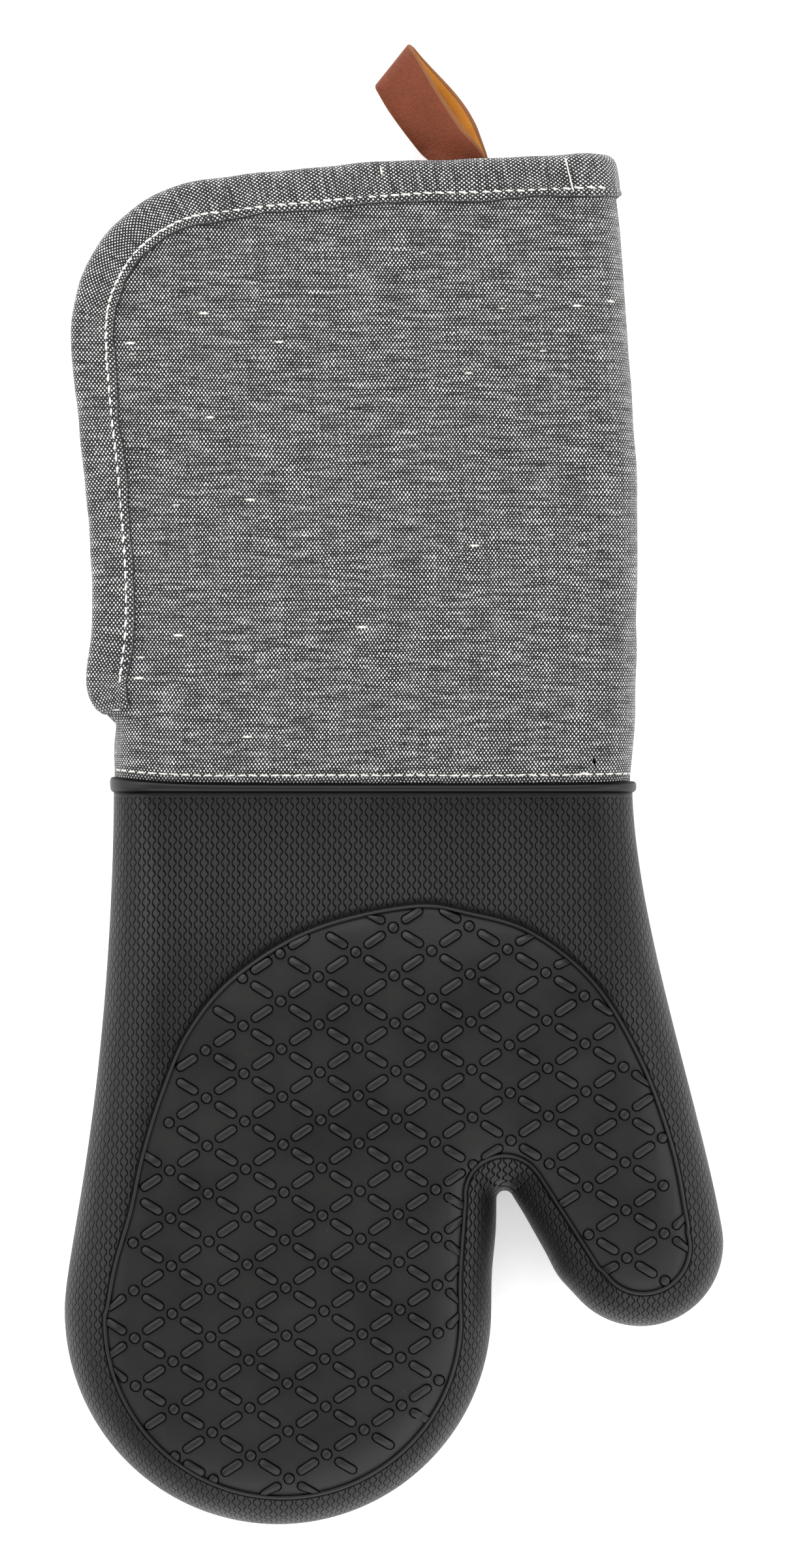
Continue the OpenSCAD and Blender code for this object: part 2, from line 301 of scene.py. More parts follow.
def template(build: Callable[[BMesh], None]) -> bpy.types.Mesh:
    """A small mesh to be repeated."""
    bm = bmesh.new()
    build(bm)
    bmesh.ops.recalc_face_normals(bm, faces=bm.faces)
    mesh = bpy.data.meshes.new("template")
    bm.to_mesh(mesh)
    bm.free()
    return mesh


def scatter(bm: BMesh, mesh: bpy.types.Mesh, moves: Sequence[Callable[[np.ndarray], np.ndarray]]) -> None:
    """Adds one copy of a template for each move.

    Args:
        bm: The mesh that takes the copies.
        mesh: The template, removed afterwards.
        moves: Each gives the copy's vertices their places.
    """
    count = len(mesh.vertices)
    rest = np.array([v.co for v in mesh.vertices], float)
    for move in moves:
        bm.from_mesh(mesh)
        bm.verts.ensure_lookup_table()
        start = len(bm.verts) - count
        for k, place in enumerate(move(rest)):
            bm.verts[start + k].co = place
    bpy.data.meshes.remove(mesh)


# ---- finishes ----


def linear(code: str) -> tuple[float, float, float, float]:
    """An sRGB hex colour as linear RGBA."""
    parts = [int(code[k:k + 2], 16) / 255 for k in (1, 3, 5)]
    r, g, b = (p / 12.92 if p <= 0.04045 else ((p + 0.055) / 1.055) ** 2.4 for p in parts)
    return r, g, b, 1.0


def node(tree: bpy.types.NodeTree, kind: str, settings: dict[str, Any] | None = None,
         **inputs: Any) -> bpy.types.Node:
    """Adds a node with its settings and links.

    Args:
        tree: The node tree.
        kind: The node's type, without the ShaderNode in front.
        settings: Properties of the node.
        **inputs: Socket names, with _ for a space, or i0, i1 and so on by place.

    Returns:
        The node.
    """
    made = tree.nodes.new("ShaderNode" + kind)
    for key, value in (settings or {}).items():
        setattr(made, key, value)
    for key, value in inputs.items():
        by_place = key[0] == "i" and key[1:].isdigit()
        socket = made.inputs[int(key[1:]) if by_place else key.replace("_", " ")]
        if isinstance(value, bpy.types.NodeSocket):
            tree.links.new(value, socket)
        else:
            socket.default_value = value
    return made


def formula(tree: bpy.types.NodeTree, *steps: tuple) -> list[bpy.types.NodeSocket]:
    """Chains math nodes.

    Args:
        tree: The node tree.
        *steps: (operation, a, b) each, where a whole number in a tuple (k,) is the result of step k.

    Returns:
        The result of every step.
    """
    done: list[bpy.types.NodeSocket] = []
    for operation, *values in steps:
        inputs = {f"i{k}": done[v[0]] if isinstance(v, tuple) else v for k, v in enumerate(values)}
        done.append(node(tree, "Math", {"operation": operation}, **inputs).outputs[0])
    return done


def start_material(name: str) -> tuple[bpy.types.Material, bpy.types.NodeTree]:
    """An empty node material."""
    material = bpy.data.materials.new(name)
    material.use_nodes = True
    material.node_tree.nodes.clear()
    return material, material.node_tree


def blend_colour(tree: bpy.types.NodeTree, share: Any, a: Any, b: Any) -> bpy.types.NodeSocket:
    """Colour a where share is 0 and b where it is 1."""
    return node(tree, "Mix", {"data_type": "RGBA"}, i0=share, i6=a, i7=b).outputs[2]


@dataclass(frozen=True)
class MouldedSilicone:
    """Black silicone rubber from a fine-blasted mould: satin, with a scale pattern outside the grip field.

    The scales are scale_w wide and scale_l long. The scale grooves and the feet of the studs, ridge and bead
    are painted near black with less reflection, as painted shade; lighter patches of tone are painted sheen.
    A few specks of dust lie on top.
    """

    colour: str = "#0d0d0d"
    # Tone of the lighter patches, which are painted sheen.
    light: str = "#1b1b1a"
    painted_groove_shade: str = "#020202"
    dust: str = "#4a4a48"
    scale_w: float = 1.42
    scale_l: float = 3.0

    def build(self, scaled: bool = True) -> bpy.types.Material:
        """The material.

        Args:
            scaled: Whether the scale pattern is drawn where the field attribute is 0.

        Returns:
            The material.
        """
        material, tree = start_material("moulded_silicone" if scaled else "moulded_silicone_plain")
        uv = node(tree, "UVMap", {"uv_map": "skin"}).outputs[0]
        split = node(tree, "SeparateXYZ", i0=uv).outputs
        wobble = node(tree, "TexNoise", Vector=uv, Scale=0.25, Detail=1.0).outputs[0]
        steps = formula(
            tree,
            ("MULTIPLY", split[1], 2 * math.pi / self.scale_l),
            ("COSINE", (0,)),
            ("MULTIPLY", split[0], math.pi / self.scale_w),
            ("COSINE", (2,)),
            ("MULTIPLY", (1,), (3,)),
            ("MULTIPLY", (4,), 0.34),
            ("MULTIPLY", split[0], 1 / self.scale_w),
            ("ADD", (5,), (6,)),
            ("MULTIPLY_ADD", wobble, 0.25, (7,)),
            ("PINGPONG", (8,), 0.5),
            ("MULTIPLY", split[1], 2 / self.scale_l),
            ("PINGPONG", (10,), 0.5),
        )
        wall_edge = node(tree, "MapRange", {"interpolation_type": "SMOOTHSTEP"}, Value=steps[9],
                         i1=0.02, i2=0.26, i3=0.0, i4=1.0).outputs[0]
        field = node(tree, "Attribute", {"attribute_name": "field"}).outputs["Fac"]
        scales = formula(tree, ("SUBTRACT", 1.0, field), ("SUBTRACT", 1.0, wall_edge),
                         ("MULTIPLY", (0,), (1,)))[2]
        place = node(tree, "TexCoord").outputs["Object"]
        grain = node(tree, "TexNoise", Vector=place, Scale=1400.0, Detail=3.0, Roughness=0.6).outputs[0]
        patches = node(tree, "TexNoise", Vector=place, Scale=60.0, Detail=4.0).outputs[0]
        specks = node(tree, "TexVoronoi", {"feature": "F1"}, Vector=place, Scale=240.0).outputs["Distance"]
        speck = node(tree, "MapRange", Value=specks, i1=0.03, i2=0.09, i3=0.5, i4=0.0).outputs[0]
        thin = node(tree, "MapRange", Value=patches, i1=0.5, i2=0.75, i3=0.0, i4=1.0).outputs[0]
        dusty = formula(tree, ("MULTIPLY", speck, thin))[0]
        # Painted sheen: lighter patches of tone; the roughness below follows the same patches.
        tone = blend_colour(tree, patches, linear(self.colour), linear(self.light))
        # Painted shade: the deep attribute marks the feet of the studs, ridge and bead; with the scale
        # grooves these take the near-black groove colour.
        deep = node(tree, "Attribute", {"attribute_name": "deep"}).outputs["Fac"]
        painted_shade = formula(tree, ("MAXIMUM", scales, deep))[0] if scaled else deep
        tone = blend_colour(tree, painted_shade, tone, linear(self.painted_groove_shade))
        tone = blend_colour(tree, dusty, tone, linear(self.dust))
        height = formula(tree, ("MULTIPLY", scales, -1.0), ("MULTIPLY_ADD", grain, 0.12, (0,)))[1]
        bump = node(tree, "Bump", Strength=0.8, Distance=0.36 * MM,
                    Height=height if scaled else grain).outputs[0]
        rough = node(tree, "MapRange", Value=patches, i1=0.3, i2=0.7, i3=0.38, i4=0.5).outputs[0]
        # Painted shade: the reflection is turned down where shade is painted.
        shine = node(tree, "MapRange", Value=painted_shade, i1=0.0, i2=1.0, i3=0.45, i4=0.06).outputs[0]
        skin = node(tree, "BsdfPrincipled", Base_Color=tone, Roughness=rough, IOR=1.41, Normal=bump,
                    Specular_IOR_Level=shine)
        node(tree, "OutputMaterial", Surface=skin.outputs[0])
        return material


@dataclass(frozen=True)
class WovenChambray:
    """Slubby cotton chambray, black warp and white weft: a white dot is one weft thread over a warp thread.

    The threads repeat every across and along millimetres. An attribute paints shade: where it is 1 the
    cloth goes black, under the binding's inner fold.
    """

    name: str
    uv_map: str = "weave"
    across: float = 0.96
    along: float = 1.34
    white: str = "#dcdcdc"
    black: str = "#0a0a0b"

    def build(self) -> bpy.types.Material:
        """The material."""
        material, tree = start_material(self.name)
        uv = node(tree, "UVMap", {"uv_map": self.uv_map}).outputs[0]
        drift = node(tree, "TexNoise", Vector=uv, Scale=0.06, Detail=2.0).outputs["Color"]
        bent = node(tree, "VectorMath", {"operation": "MULTIPLY_ADD"}, i0=drift, i1=(1.6, 1.6, 0.0),
                    i2=uv).outputs[0]
        split = node(tree, "SeparateXYZ", i0=bent).outputs
        steps = formula(
            tree,
            ("MULTIPLY", split[0], 2 * math.pi / self.across),
            ("COSINE", (0,)),
            ("MULTIPLY", split[1], 2 * math.pi / self.along),
            ("COSINE", (2,)),
            ("MULTIPLY", (1,), (3,)),
        )
        weft = node(tree, "Mapping", Vector=uv, Scale=(0.11, 0.8, 1.0)).outputs[0]
        warp = node(tree, "Mapping", Vector=uv, Scale=(0.9, 0.04, 1.0)).outputs[0]
        weft_slub = node(tree, "TexNoise", Vector=weft, Scale=1.0, Detail=2.5, Roughness=0.65).outputs[0]
        warp_slub = node(tree, "TexNoise", Vector=warp, Scale=1.0, Detail=2.0, Roughness=0.6).outputs[0]
        fuzz = node(tree, "TexNoise", Vector=uv, Scale=1.1, Detail=2.0, Roughness=0.7).outputs[0]
        level = formula(
            tree,
            ("MULTIPLY_ADD", weft_slub, 1.6, -0.81),
            ("MULTIPLY_ADD", warp_slub, -0.45, 0.22),
            ("ADD", (0,), (1,)),
            ("MULTIPLY_ADD", fuzz, 1.2, -0.6),
            ("ADD", (2,), (3,)),
            ("ADD", (4,), steps[4]),
        )[5]
        dot = node(tree, "MapRange", {"interpolation_type": "SMOOTHSTEP"}, Value=level,
                   i1=0.36, i2=0.56, i3=0.0, i4=1.0).outputs[0]
        fleck_at = node(tree, "Mapping", Vector=uv, Scale=(0.10, 0.42, 1.0)).outputs[0]
        fleck = node(tree, "TexVoronoi", {"feature": "F1"}, Vector=fleck_at, Scale=1.0)
        chosen = node(tree, "SeparateColor", i0=fleck.outputs["Color"]).outputs[0]
        near = node(tree, "MapRange", Value=fleck.outputs["Distance"],
                    i1=0.08, i2=0.16, i3=1.0, i4=0.0).outputs[0]
        slub = formula(tree, ("GREATER_THAN", chosen, 0.9), ("MULTIPLY", (0,), near))[1]
        tone = blend_colour(tree, dot, linear(self.black), linear(self.white))
        tone = blend_colour(tree, slub, tone, linear("#e9e3d8"))
        painted_fold_shade = node(tree, "Attribute", {"attribute_name": "painted_fold_shade"}).outputs["Fac"]
        # Painted shade: the cloth is painted black where the fold attribute is set.
        tone = blend_colour(tree, painted_fold_shade, tone, linear(self.black))
        height = formula(tree, ("MULTIPLY_ADD", slub, 0.8, steps[4]))[0]
        bump = node(tree, "Bump", Strength=0.6, Distance=0.22 * MM, Height=height).outputs[0]
        cloth = node(tree, "BsdfPrincipled", Base_Color=tone, Roughness=0.88, Normal=bump,
                     Sheen_Weight=0.25, Sheen_Roughness=0.5)
        node(tree, "OutputMaterial", Surface=cloth.outputs[0])
        return material


@dataclass(frozen=True)
class PlainCloth:
    """Plain textile: brushed lining, wadding or sewing thread, set apart by colour and fibre size."""

    name: str
    colour: str
    shade: str
    fibre: float
    lift: float = 0.15
    twist: bool = False

    def build(self) -> bpy.types.Material:
        """The material."""
        material, tree = start_material(self.name)
        place = node(tree, "TexCoord").outputs["Object"]
        fibres = node(tree, "TexNoise", Vector=place, Scale=1 / (self.fibre * MM), Detail=4.0,
                      Roughness=0.65,
                      Distortion=0.8 if self.twist else 0.2).outputs[0]
        wide = node(tree, "TexNoise", Vector=place, Scale=90.0, Detail=2.0).outputs[0]
        tone = blend_colour(tree, fibres, linear(self.shade), linear(self.colour))
        tone = blend_colour(tree, formula(tree, ("MULTIPLY", wide, 0.35))[0], tone, linear(self.shade))
        bump = node(tree, "Bump", Strength=0.6, Distance=self.lift * MM, Height=fibres).outputs[0]
        cloth = node(tree, "BsdfPrincipled", Base_Color=tone, Roughness=0.92, Normal=bump, Sheen_Weight=0.2)
        node(tree, "OutputMaterial", Surface=cloth.outputs[0])
        return material


class LeatherFace(Enum):
    """The faces of a leather strap: name, colour, deeper colour, roughness and grain size in mm."""

    GRAIN = ("leather_grain", "#7a3a20", "#5a2812", 0.6, 0.7)
    FLESH = ("leather_flesh", "#c98a34", "#b27022", 0.8, 0.3)
    EDGE = ("leather_cut_edge", "#8f5c36", "#6f4526", 0.75, 0.25)


@dataclass(frozen=True)
class Leather:
    """Drum-dyed cowhide: a pebbled satin grain side, a fuzzy amber flesh side and pale cut edges."""

    face: LeatherFace

    def build(self) -> bpy.types.Material:
        """The material."""
        name, colour, deep, rough, grain = self.face.value
        material, tree = start_material(name)
        place = node(tree, "TexCoord").outputs["Object"]
        cells = node(tree, "TexVoronoi", {"feature": "SMOOTH_F1"}, Vector=place, Scale=1 / (grain * MM),
                     Smoothness=0.6).outputs["Distance"]
        cloud = node(tree, "TexNoise", Vector=place, Scale=180.0, Detail=5.0, Roughness=0.6).outputs[0]
        fine = node(tree, "TexNoise", Vector=place, Scale=2500.0, Detail=2.0).outputs[0]
        mix = formula(tree, ("MULTIPLY", cells, 0.5), ("MULTIPLY_ADD", cloud, 0.8, (0,)),
                      ("SUBTRACT", (1,), 0.15))[2]
        tone = blend_colour(tree, mix, linear(colour), linear(deep))
        height = formula(tree, ("MULTIPLY", cells, -1.0), ("MULTIPLY_ADD", fine, 0.25, (0,)))[1]
        bump = node(tree, "Bump", Strength=0.6, Distance=0.2 * MM, Height=height).outputs[0]
        hide = node(tree, "BsdfPrincipled", Base_Color=tone, Roughness=rough, Normal=bump,
                    Specular_IOR_Level=0.3)
        node(tree, "OutputMaterial", Surface=hide.outputs[0])
        return material


# ---- silicone hand ----


@dataclass
class SiliconeHand:
    """The moulded hand: a seamless shell with a ridge round its grip field, studs, bead and sewing lip."""

    thickness: float = 34.8
    middle: float = 17.8
    mouth_thickness: float = 23.2
    mouth_middle: float = 12.5
    taper_from: float = -62.0
    squareness: float = 2.2
    raised: float = 0.9
    back_lift: float = 0.5
    studs_x: float = 20.2
    studs_y: float = 12.7
    mouth_line: float = 22.0
    bead_foot: float = -3.7
    wall: float = 1.1
    ring_end: float = 6.9
    dot: tuple[float, float, int] = (2.5, 2.5, 10)
    bar: tuple[float, float, int] = (6.2, 2.0, 5)
    # The ridge across: distance inside its outer foot, height as a share of a stud's, and painted shade at
    # its feet.
    ridge_profile: tuple = ((0.35, -0.12, 1), (0.5, 0.6, 0.5), (0.7, 0.95, 0), (1.2, 0.95, 0),
                            (1.42, 0.6, 0.5), (1.55, -0.1, 1), (2.0, 0, 0))
    # The bead and the lip behind it: distance out from the shell's face, and y.
    bead_profile: tuple = ((0, -3.2), (0, -2.3), (0.12, -2.2), (0.5, -2.08), (0.85, -1.85), (1.0, -1.5),
                           (1.04, -1.1), (0.98, -0.7), (0.8, -0.35), (0.5, -0.12), (0.05, 0), (-0.7, 0.02),
                           (-1.5, 0.05), (-1.85, 0.3), (-1.9, 2.5), (-1.9, 6.8))

    def outline(self) -> np.ndarray:
        """The outline seen from above, counter-clockwise from the mouth's left end."""
        top = self.mouth_line
        return np.concatenate([
            line((-75.3, top), (-75.3, 0), 6),
            bezier((-75.3, 0), (-75.5, -85), (-88.3, -125), (-88.3, -141.3), 50),
            arc((-31, -141.3), 57.3, 180, 360, 80),
            through([(26.3, -141.3), (26.5, -131), (27.5, -120), (27.7, -111.3)], 14),
            arc((29.9, -111.3), 2.2, 180, 35, 14),
            through([(31.7, -110), (35.1, -115.5), (38.1, -120.8), (41, -126), (43.8, -131.4),
                     (46.7, -135)], 14),
            arc((66.3, -123.2), 22.3, 222, 370, 50),
            bezier((88.26, -119.3), (82.2, -84.8), (65, -38), (64.3, 0), 50),
            line((64.3, 0), (64.3, top), 6),
            line((64.3, top), (-75.3, top), 60),
        ])

    def inset_outline(self, d: float) -> np.ndarray:
        """The outline moved inwards by d, square at the corners of its mouth."""
        outline = self.outline()
        loop = outline + left_normals(outline, True) * d
        left, right, top = -75.3 + d, 64.3 - d, self.mouth_line - d
        loop[:6] = line((left, top), (left, 0), 6)
        loop[-66:-60] = line((right, 0), (right, top), 6)
        loop[-60:] = line((right, top), (left, top), 60)
        return loop

    def ridge(self) -> np.ndarray:
        """The ridge's outer edge, point for point beside the outline."""
        arch = resample(smooth_curve([
            (79.4, -117.6), (75.2, -96.6), (66.8, -73.5), (54.2, -52.5), (37.4, -38.9), (20.6, -33.6),
            (5, -31.7), (-21.4, -37.8), (-42.4, -50.4), (-55, -65.1), (-62.4, -81.9), (-67.6, -98.7),
            (-70.8, -113.4), (-75, -128.1), (-77.3, -141)]), 600, True)
        right, right_rise, top, left_rise, left = (
            resample(arch[a:b + 1], n) for a, b, n in
            ((0, 190, 50), (190, 215, 6), (215, 385, 60), (385, 410, 6), (410, 600, 50)))
        rest = [
            arc((-29.4, -142.6), 48.3, 178, 362, 80),
            through([(18.8, -140), (18.8, -130.2), (20.3, -109.2)], 14),
            arc((29.6, -109.3), 9.5, 176, 30, 14),
            through([(37.9, -104.5), (46.4, -117.7), (54.9, -131)], 14),
            arc((66.6, -123.2), 13.3, 214, 380, 50),
        ]
        return np.concatenate([left_rise, left, *rest, right, right_rise, top])

    def half(self, y: np.ndarray) -> np.ndarray:
        """Half the hand's thickness at y."""
        share = ease(y, self.taper_from, 6)
        return (self.thickness + (self.mouth_thickness - self.thickness) * share) / 2

    def mid(self, y: np.ndarray) -> np.ndarray:
        """Mid-height of the hand at y."""
        return self.middle + (self.mouth_middle - self.middle) * ease(y, self.taper_from, 6)

    def rise(self, far: np.ndarray, y: np.ndarray, inset: float = 0) -> np.ndarray:
        """Height over the mid-plane at a distance from the outline."""
        reach = self.half(y) * 1.03 - inset
        over = np.where(far - inset < 2e-3, 0, far - inset)
        share = 1 - np.clip(over / reach, 0, 1)
        return (self.half(y) - inset) * (1 - share ** self.squareness) ** (1 / self.squareness)

    def height(self, xy: np.ndarray, side: Side, inset: float = 0) -> np.ndarray:
        """Z of the plain surface."""
        far, _ = nearest_on(xy, self.rim)
        y = xy[:, 1]
        lift = self.rise(far, y, inset)
        if side is Side.FRONT:
            return self.mid(y) + lift
        return self.mid(y) - lift * (1 - self.back_lift / self.half(y))

    def half_skin(self, bm: BMesh, side: Side, ridged: bool, inset: float) -> None:
        """Adds one face of the hand.

        Args:
            bm: The mesh.
            side: Front or back.
            ridged: Whether the ridge and the field attribute are made.
            inset: How far the skin lies under the outer face.
        """
        ridge = self.ridge()
        field = bm.verts.layers.float.get("field") or bm.verts.layers.float.new("field")
        lift = bm.verts.layers.float.get("lift") or bm.verts.layers.float.new("lift")
        deep = bm.verts.layers.float.get("deep") or bm.verts.layers.float.new("deep")
        before = set(bm.verts)
        reach = self.thickness / 2 * 1.03 - inset
        end = (1 - (1 - (self.ring_end - inset) / reach) ** self.squareness) ** (1 / self.squareness)
        shares = np.sin(np.linspace(0, math.asin(end), 14 if ridged else 7))
        insets = inset + reach * (1 - (1 - shares ** self.squareness) ** (1 / self.squareness))
        loop = first_ring(bm, np.pad(self.inset_outline(insets[0]), ((0, 0), (0, 1))))
        for d in insets[1:]:
            loop = grow_ring(bm, loop, np.pad(self.inset_outline(d), ((0, 0), (0, 1))))
        edge = self.inset_outline(insets[-1])
        for share in np.append(np.linspace(0, 0.9, 10 if ridged else 5)[1:], (0.965, 1)):
            loop = grow_ring(bm, loop, np.pad(edge * (1 - share) + ridge * share, ((0, 0), (0, 1))))
        if ridged:
            within = left_normals(ridge, True)
            # Painted shade: the ring at the ridge's outer foot and the ridge's feet are marked deep and
            # painted dark.
            for v in loop:
                v[deep] = 0.7
            for d, up, painted_shade in self.ridge_profile:
                loop = grow_ring(bm, loop, np.pad(ridge + within * d, ((0, 0), (0, 1))))
                for v in loop:
                    v[lift] = up * self.raised / 0.9
                    v[field] = 1
                    v[deep] = painted_shade
        patch = bm.faces.new(loop)
        patch.material_index = 1
        step = 5.0 if ridged else 8.0
        cut_in_grid(bm, np.arange(-80.3, 85, step), np.arange(-190.3, -30, step))
        for face in bm.faces:
            face.material_index = 0
        new = [v for v in bm.verts if v not in before]
        xy = np.array([v.co.xy for v in new])
        z = self.height(xy, side, inset)
        core = inside(xy, ridge + left_normals(ridge, True) * 0.9)
        for v, high, deep in zip(new, z, core):
            v.co.z = high + side.value * v[lift]
            if ridged and deep:
                v[field] = 1

    def skin(self, ridged: bool, inset: float = 0) -> BMesh:
        """The whole hand down to the bead's foot, one closed skin open at the mouth."""
        bm = bmesh.new()
        self.half_skin(bm, Side.FRONT, ridged, inset)
        self.half_skin(bm, Side.BACK, ridged, inset)
        bmesh.ops.remove_doubles(bm, verts=bm.verts, dist=0.004)
        bmesh.ops.bisect_plane(bm, geom=[*bm.verts, *bm.edges, *bm.faces], dist=1e-4, clear_outer=True,
                               plane_co=(0, self.bead_foot, 0), plane_no=(0, 1, 0))
        bmesh.ops.recalc_face_normals(bm, faces=bm.faces)
        return bm

    def mouth_loop(self, bm: BMesh) -> list[BMVert]:
        """The open edge at the mouth, in order."""
        edges = [e for e in bm.edges
                 if e.is_boundary and all(v.co.y > self.bead_foot - 0.1 for v in e.verts)]
        start = edges[0].verts[0]
        loop, kept = [start], set(edges)
        while True:
            ways = [e.other_vert(loop[-1]) for e in loop[-1].link_edges if e in kept]
            step = next((v for v in ways if len(loop) < 2 or v is not loop[-2]), None)
            if step is None or step is start:
                return loop
            loop.append(step)

    def add_bead(self, bm: BMesh) -> None:
        """Grows the bead round the mouth and the thin lip that the cuff is sewn to."""
        loop = self.mouth_loop(bm)
        xz = np.array([(v.co.x, v.co.z) for v in loop])
        out = left_normals(xz, True)
        if ((xz - xz.mean(0)) * out).sum() < 0:
            out = -out
        up = 1.5 * np.abs(xz[:, 0] / 72) ** 6
        field = bm.verts.layers.float.get("field")
        deep = bm.verts.layers.float.get("deep")
        for away, y in self.bead_profile:
            flat = xz + out * away
            share = ease(y, -2.3, -0.6)
            loop = grow_ring(bm, loop, np.stack([flat[:, 0], y + up * share, flat[:, 1]], 1))
            for v in loop:
                v[field] = 1
                # Painted shade: the bead's top under the hem and the crease at its foot are marked deep and
                # painted dark.
                v[deep] = float(y > -0.5 or -2.35 < y < -2.05)

    def add_inner_wall(self, bm: BMesh) -> None:
        """Closes the shell with an inner face and a rim at the lip's end."""
        bm.normal_update()
        copy = bmesh.ops.duplicate(bm, geom=[*bm.verts, *bm.edges, *bm.faces])["geom"]
        inner = [g for g in copy if isinstance(g, BMVert)]
        faces = [g for g in copy if isinstance(g, bmesh.types.BMFace)]
        shifts = [v.normal * -self.wall for v in inner]
        for v, shift in zip(inner, shifts):
            v.co += shift
        bmesh.ops.reverse_faces(bm, faces=faces)
        bmesh.ops.bridge_loops(bm, edges=[e for e in bm.edges if e.is_boundary])

    def add_skin_map(self, bm: BMesh) -> None:
        """Lays the skin out flat in millimetres, walls unrolled outwards."""
        xy = np.array([v.co.xy for v in bm.verts])
        far, near = nearest_on(xy, self.rim)
        reach = self.thickness / 2 * 1.03
        d = np.linspace(0, reach, 400)
        h = self.rise(d, np.full_like(d, -100.0))
        length = np.concatenate([[0], np.cumsum(np.hypot(np.diff(d), np.diff(h)))])
        near_rim = np.clip(far, 0, reach)
        spare = (length[-1] - np.interp(near_rim, d, length)) - (reach - near_rim)
        away = near - xy
        away /= np.maximum(np.linalg.norm(away, axis=1), 1e-6)[:, None]
        flat = xy + away * spare[:, None]
        layer = bm.loops.layers.uv.new("skin")
        bm.verts.index_update()
        for face in bm.faces:
            for corner in face.loops:
                corner[layer].uv = flat[corner.vert.index]

    @staticmethod
    def stud_template(length: float, width: float, ends: int) -> bpy.types.Mesh:
        """A soft-edged stud, round where length equals width.

        Args:
            length: Overall length.
            width: Overall width.
            ends: Corners of each rounded end.

        Returns:
            The template, along X.
        """
        def build(bm: BMesh) -> None:
            """Grows the stud ring by ring from its foot, painted in shade, to its flat top."""
            run = (length - width) / 2
            angle = np.concatenate([np.linspace(-90, 90, ends), np.linspace(90, 270, ends)]) if run else \
                np.linspace(0, 360, ends, endpoint=False)
            a = np.radians(angle)
            right_end = np.where(np.arange(len(a)) < ends, 1e-3, -1e-3)
            shift = run * np.sign(np.cos(a) + right_end) if run else 0 * a
            loop = None
            for grow, high in ((0.4, -0.3), (0.38, 0.05), (0.06, 0.05), (0.0, 0.76), (-0.16, 0.9)):
                r = width / 2 + grow
                ring = np.stack([shift + r * np.cos(a), r * np.sin(a), np.full_like(a, high)], 1)
                loop = first_ring(bm, ring) if loop is None else grow_ring(bm, loop, ring)
            bm.faces.new(loop)
        return template(build)

    def add_studs(self, bm: BMesh) -> int:
        """Adds the field's dots and bars on both faces.

        Returns:
            How many were added.
        """
        ridge = self.ridge()
        within = left_normals(ridge, True)
        fence = np.concatenate([ridge + within * 1.5, (ridge + within * 1.5)[:1]])
        room = ridge + within * 1.6
        turn = math.radians(1)
        spin = np.array([[math.cos(turn), math.sin(turn)], [-math.sin(turn), math.cos(turn)]])
        count = 0
        dots, bars = [], []
        for i in range(-10, 11):
            for j in range(-28, 29):
                if (i + j) % 2 == 0:
                    dots.append((i * self.studs_x / 2, j * self.studs_y / 2, 0.0))
                    for sign in (-1, 1):
                        bars.append(((i + 0.5) * self.studs_x / 2, (j + sign * 0.5) * self.studs_y / 2,
                                     sign * math.atan2(self.studs_y, self.studs_x)))
                else:
                    for sign in (-1, 1):
                        bars.append(((i + 0.5) * self.studs_x / 2, (j + sign * 0.5) * self.studs_y / 2,
                                     sign * math.atan2(self.studs_y, self.studs_x)))
        bars = sorted(set((round(x, 3), round(y, 3), round(a, 4)) for x, y, a in bars
                          if self.joins_dots(x, y, a)))
        field = bm.verts.layers.float.get("field")
        deep = bm.verts.layers.float.get("deep")
        for places, size in ((dots, self.dot), (bars, self.bar)):
            centres = np.array([(x, y) for x, y, _ in places]) @ spin + (0, -38.2)
            keep = inside(centres, room)
            for side in Side:
                moves = []
                for (_, _, angle), centre, kept in zip(places, centres, keep):
                    if kept:
                        moves.append(self.stud_move(angle + turn, centre, side, fence))
                before = len(bm.verts)
                stud = self.stud_template(*size)
                foot = [v.co.z < 0.1 for v in stud.vertices]
                scatter(bm, stud, moves)
                bm.verts.ensure_lookup_table()
                for k, v in enumerate(bm.verts[before:]):
                    v[field] = 1
                    # Painted shade: each stud's foot ring is marked deep and painted dark.
                    v[deep] = float(foot[k % len(foot)])
                if side is Side.BACK:
                    faces = {f for v in bm.verts[before:] for f in v.link_faces}
                    bmesh.ops.reverse_faces(bm, faces=list(faces))
                count += len(moves)
        return count

    def joins_dots(self, x: float, y: float, angle: float) -> bool:
        """Whether a bar at this place and angle lies between two dots."""
        i = (x + math.copysign(self.studs_x / 4, 1)) / (self.studs_x / 2)
        j = (y + math.copysign(self.studs_y / 4, angle)) / (self.studs_y / 2)
        return round(i + j) % 2 == 0

    def stud_move(self, angle: float, centre: np.ndarray, side: Side,
                  fence: np.ndarray) -> Callable[[np.ndarray], np.ndarray]:
        """A move that sets a stud on the surface and stops it at the ridge."""
        def move(rest: np.ndarray) -> np.ndarray:
            """Turns the template, holds it within the fence and lifts it to the surface."""
            c, s = math.cos(angle), math.sin(angle)
            xy = rest[:, :2] @ np.array([[c, s], [-s, c]]) + centre
            over = ~inside(xy, fence[:-1])
            if over.any():
                xy[over] = nearest_on(xy[over], fence)[1]
            z = self.height(xy, side) + side.value * rest[:, 2] * self.raised / 0.9
            return np.concatenate([xy, z[:, None]], 1)
        return move

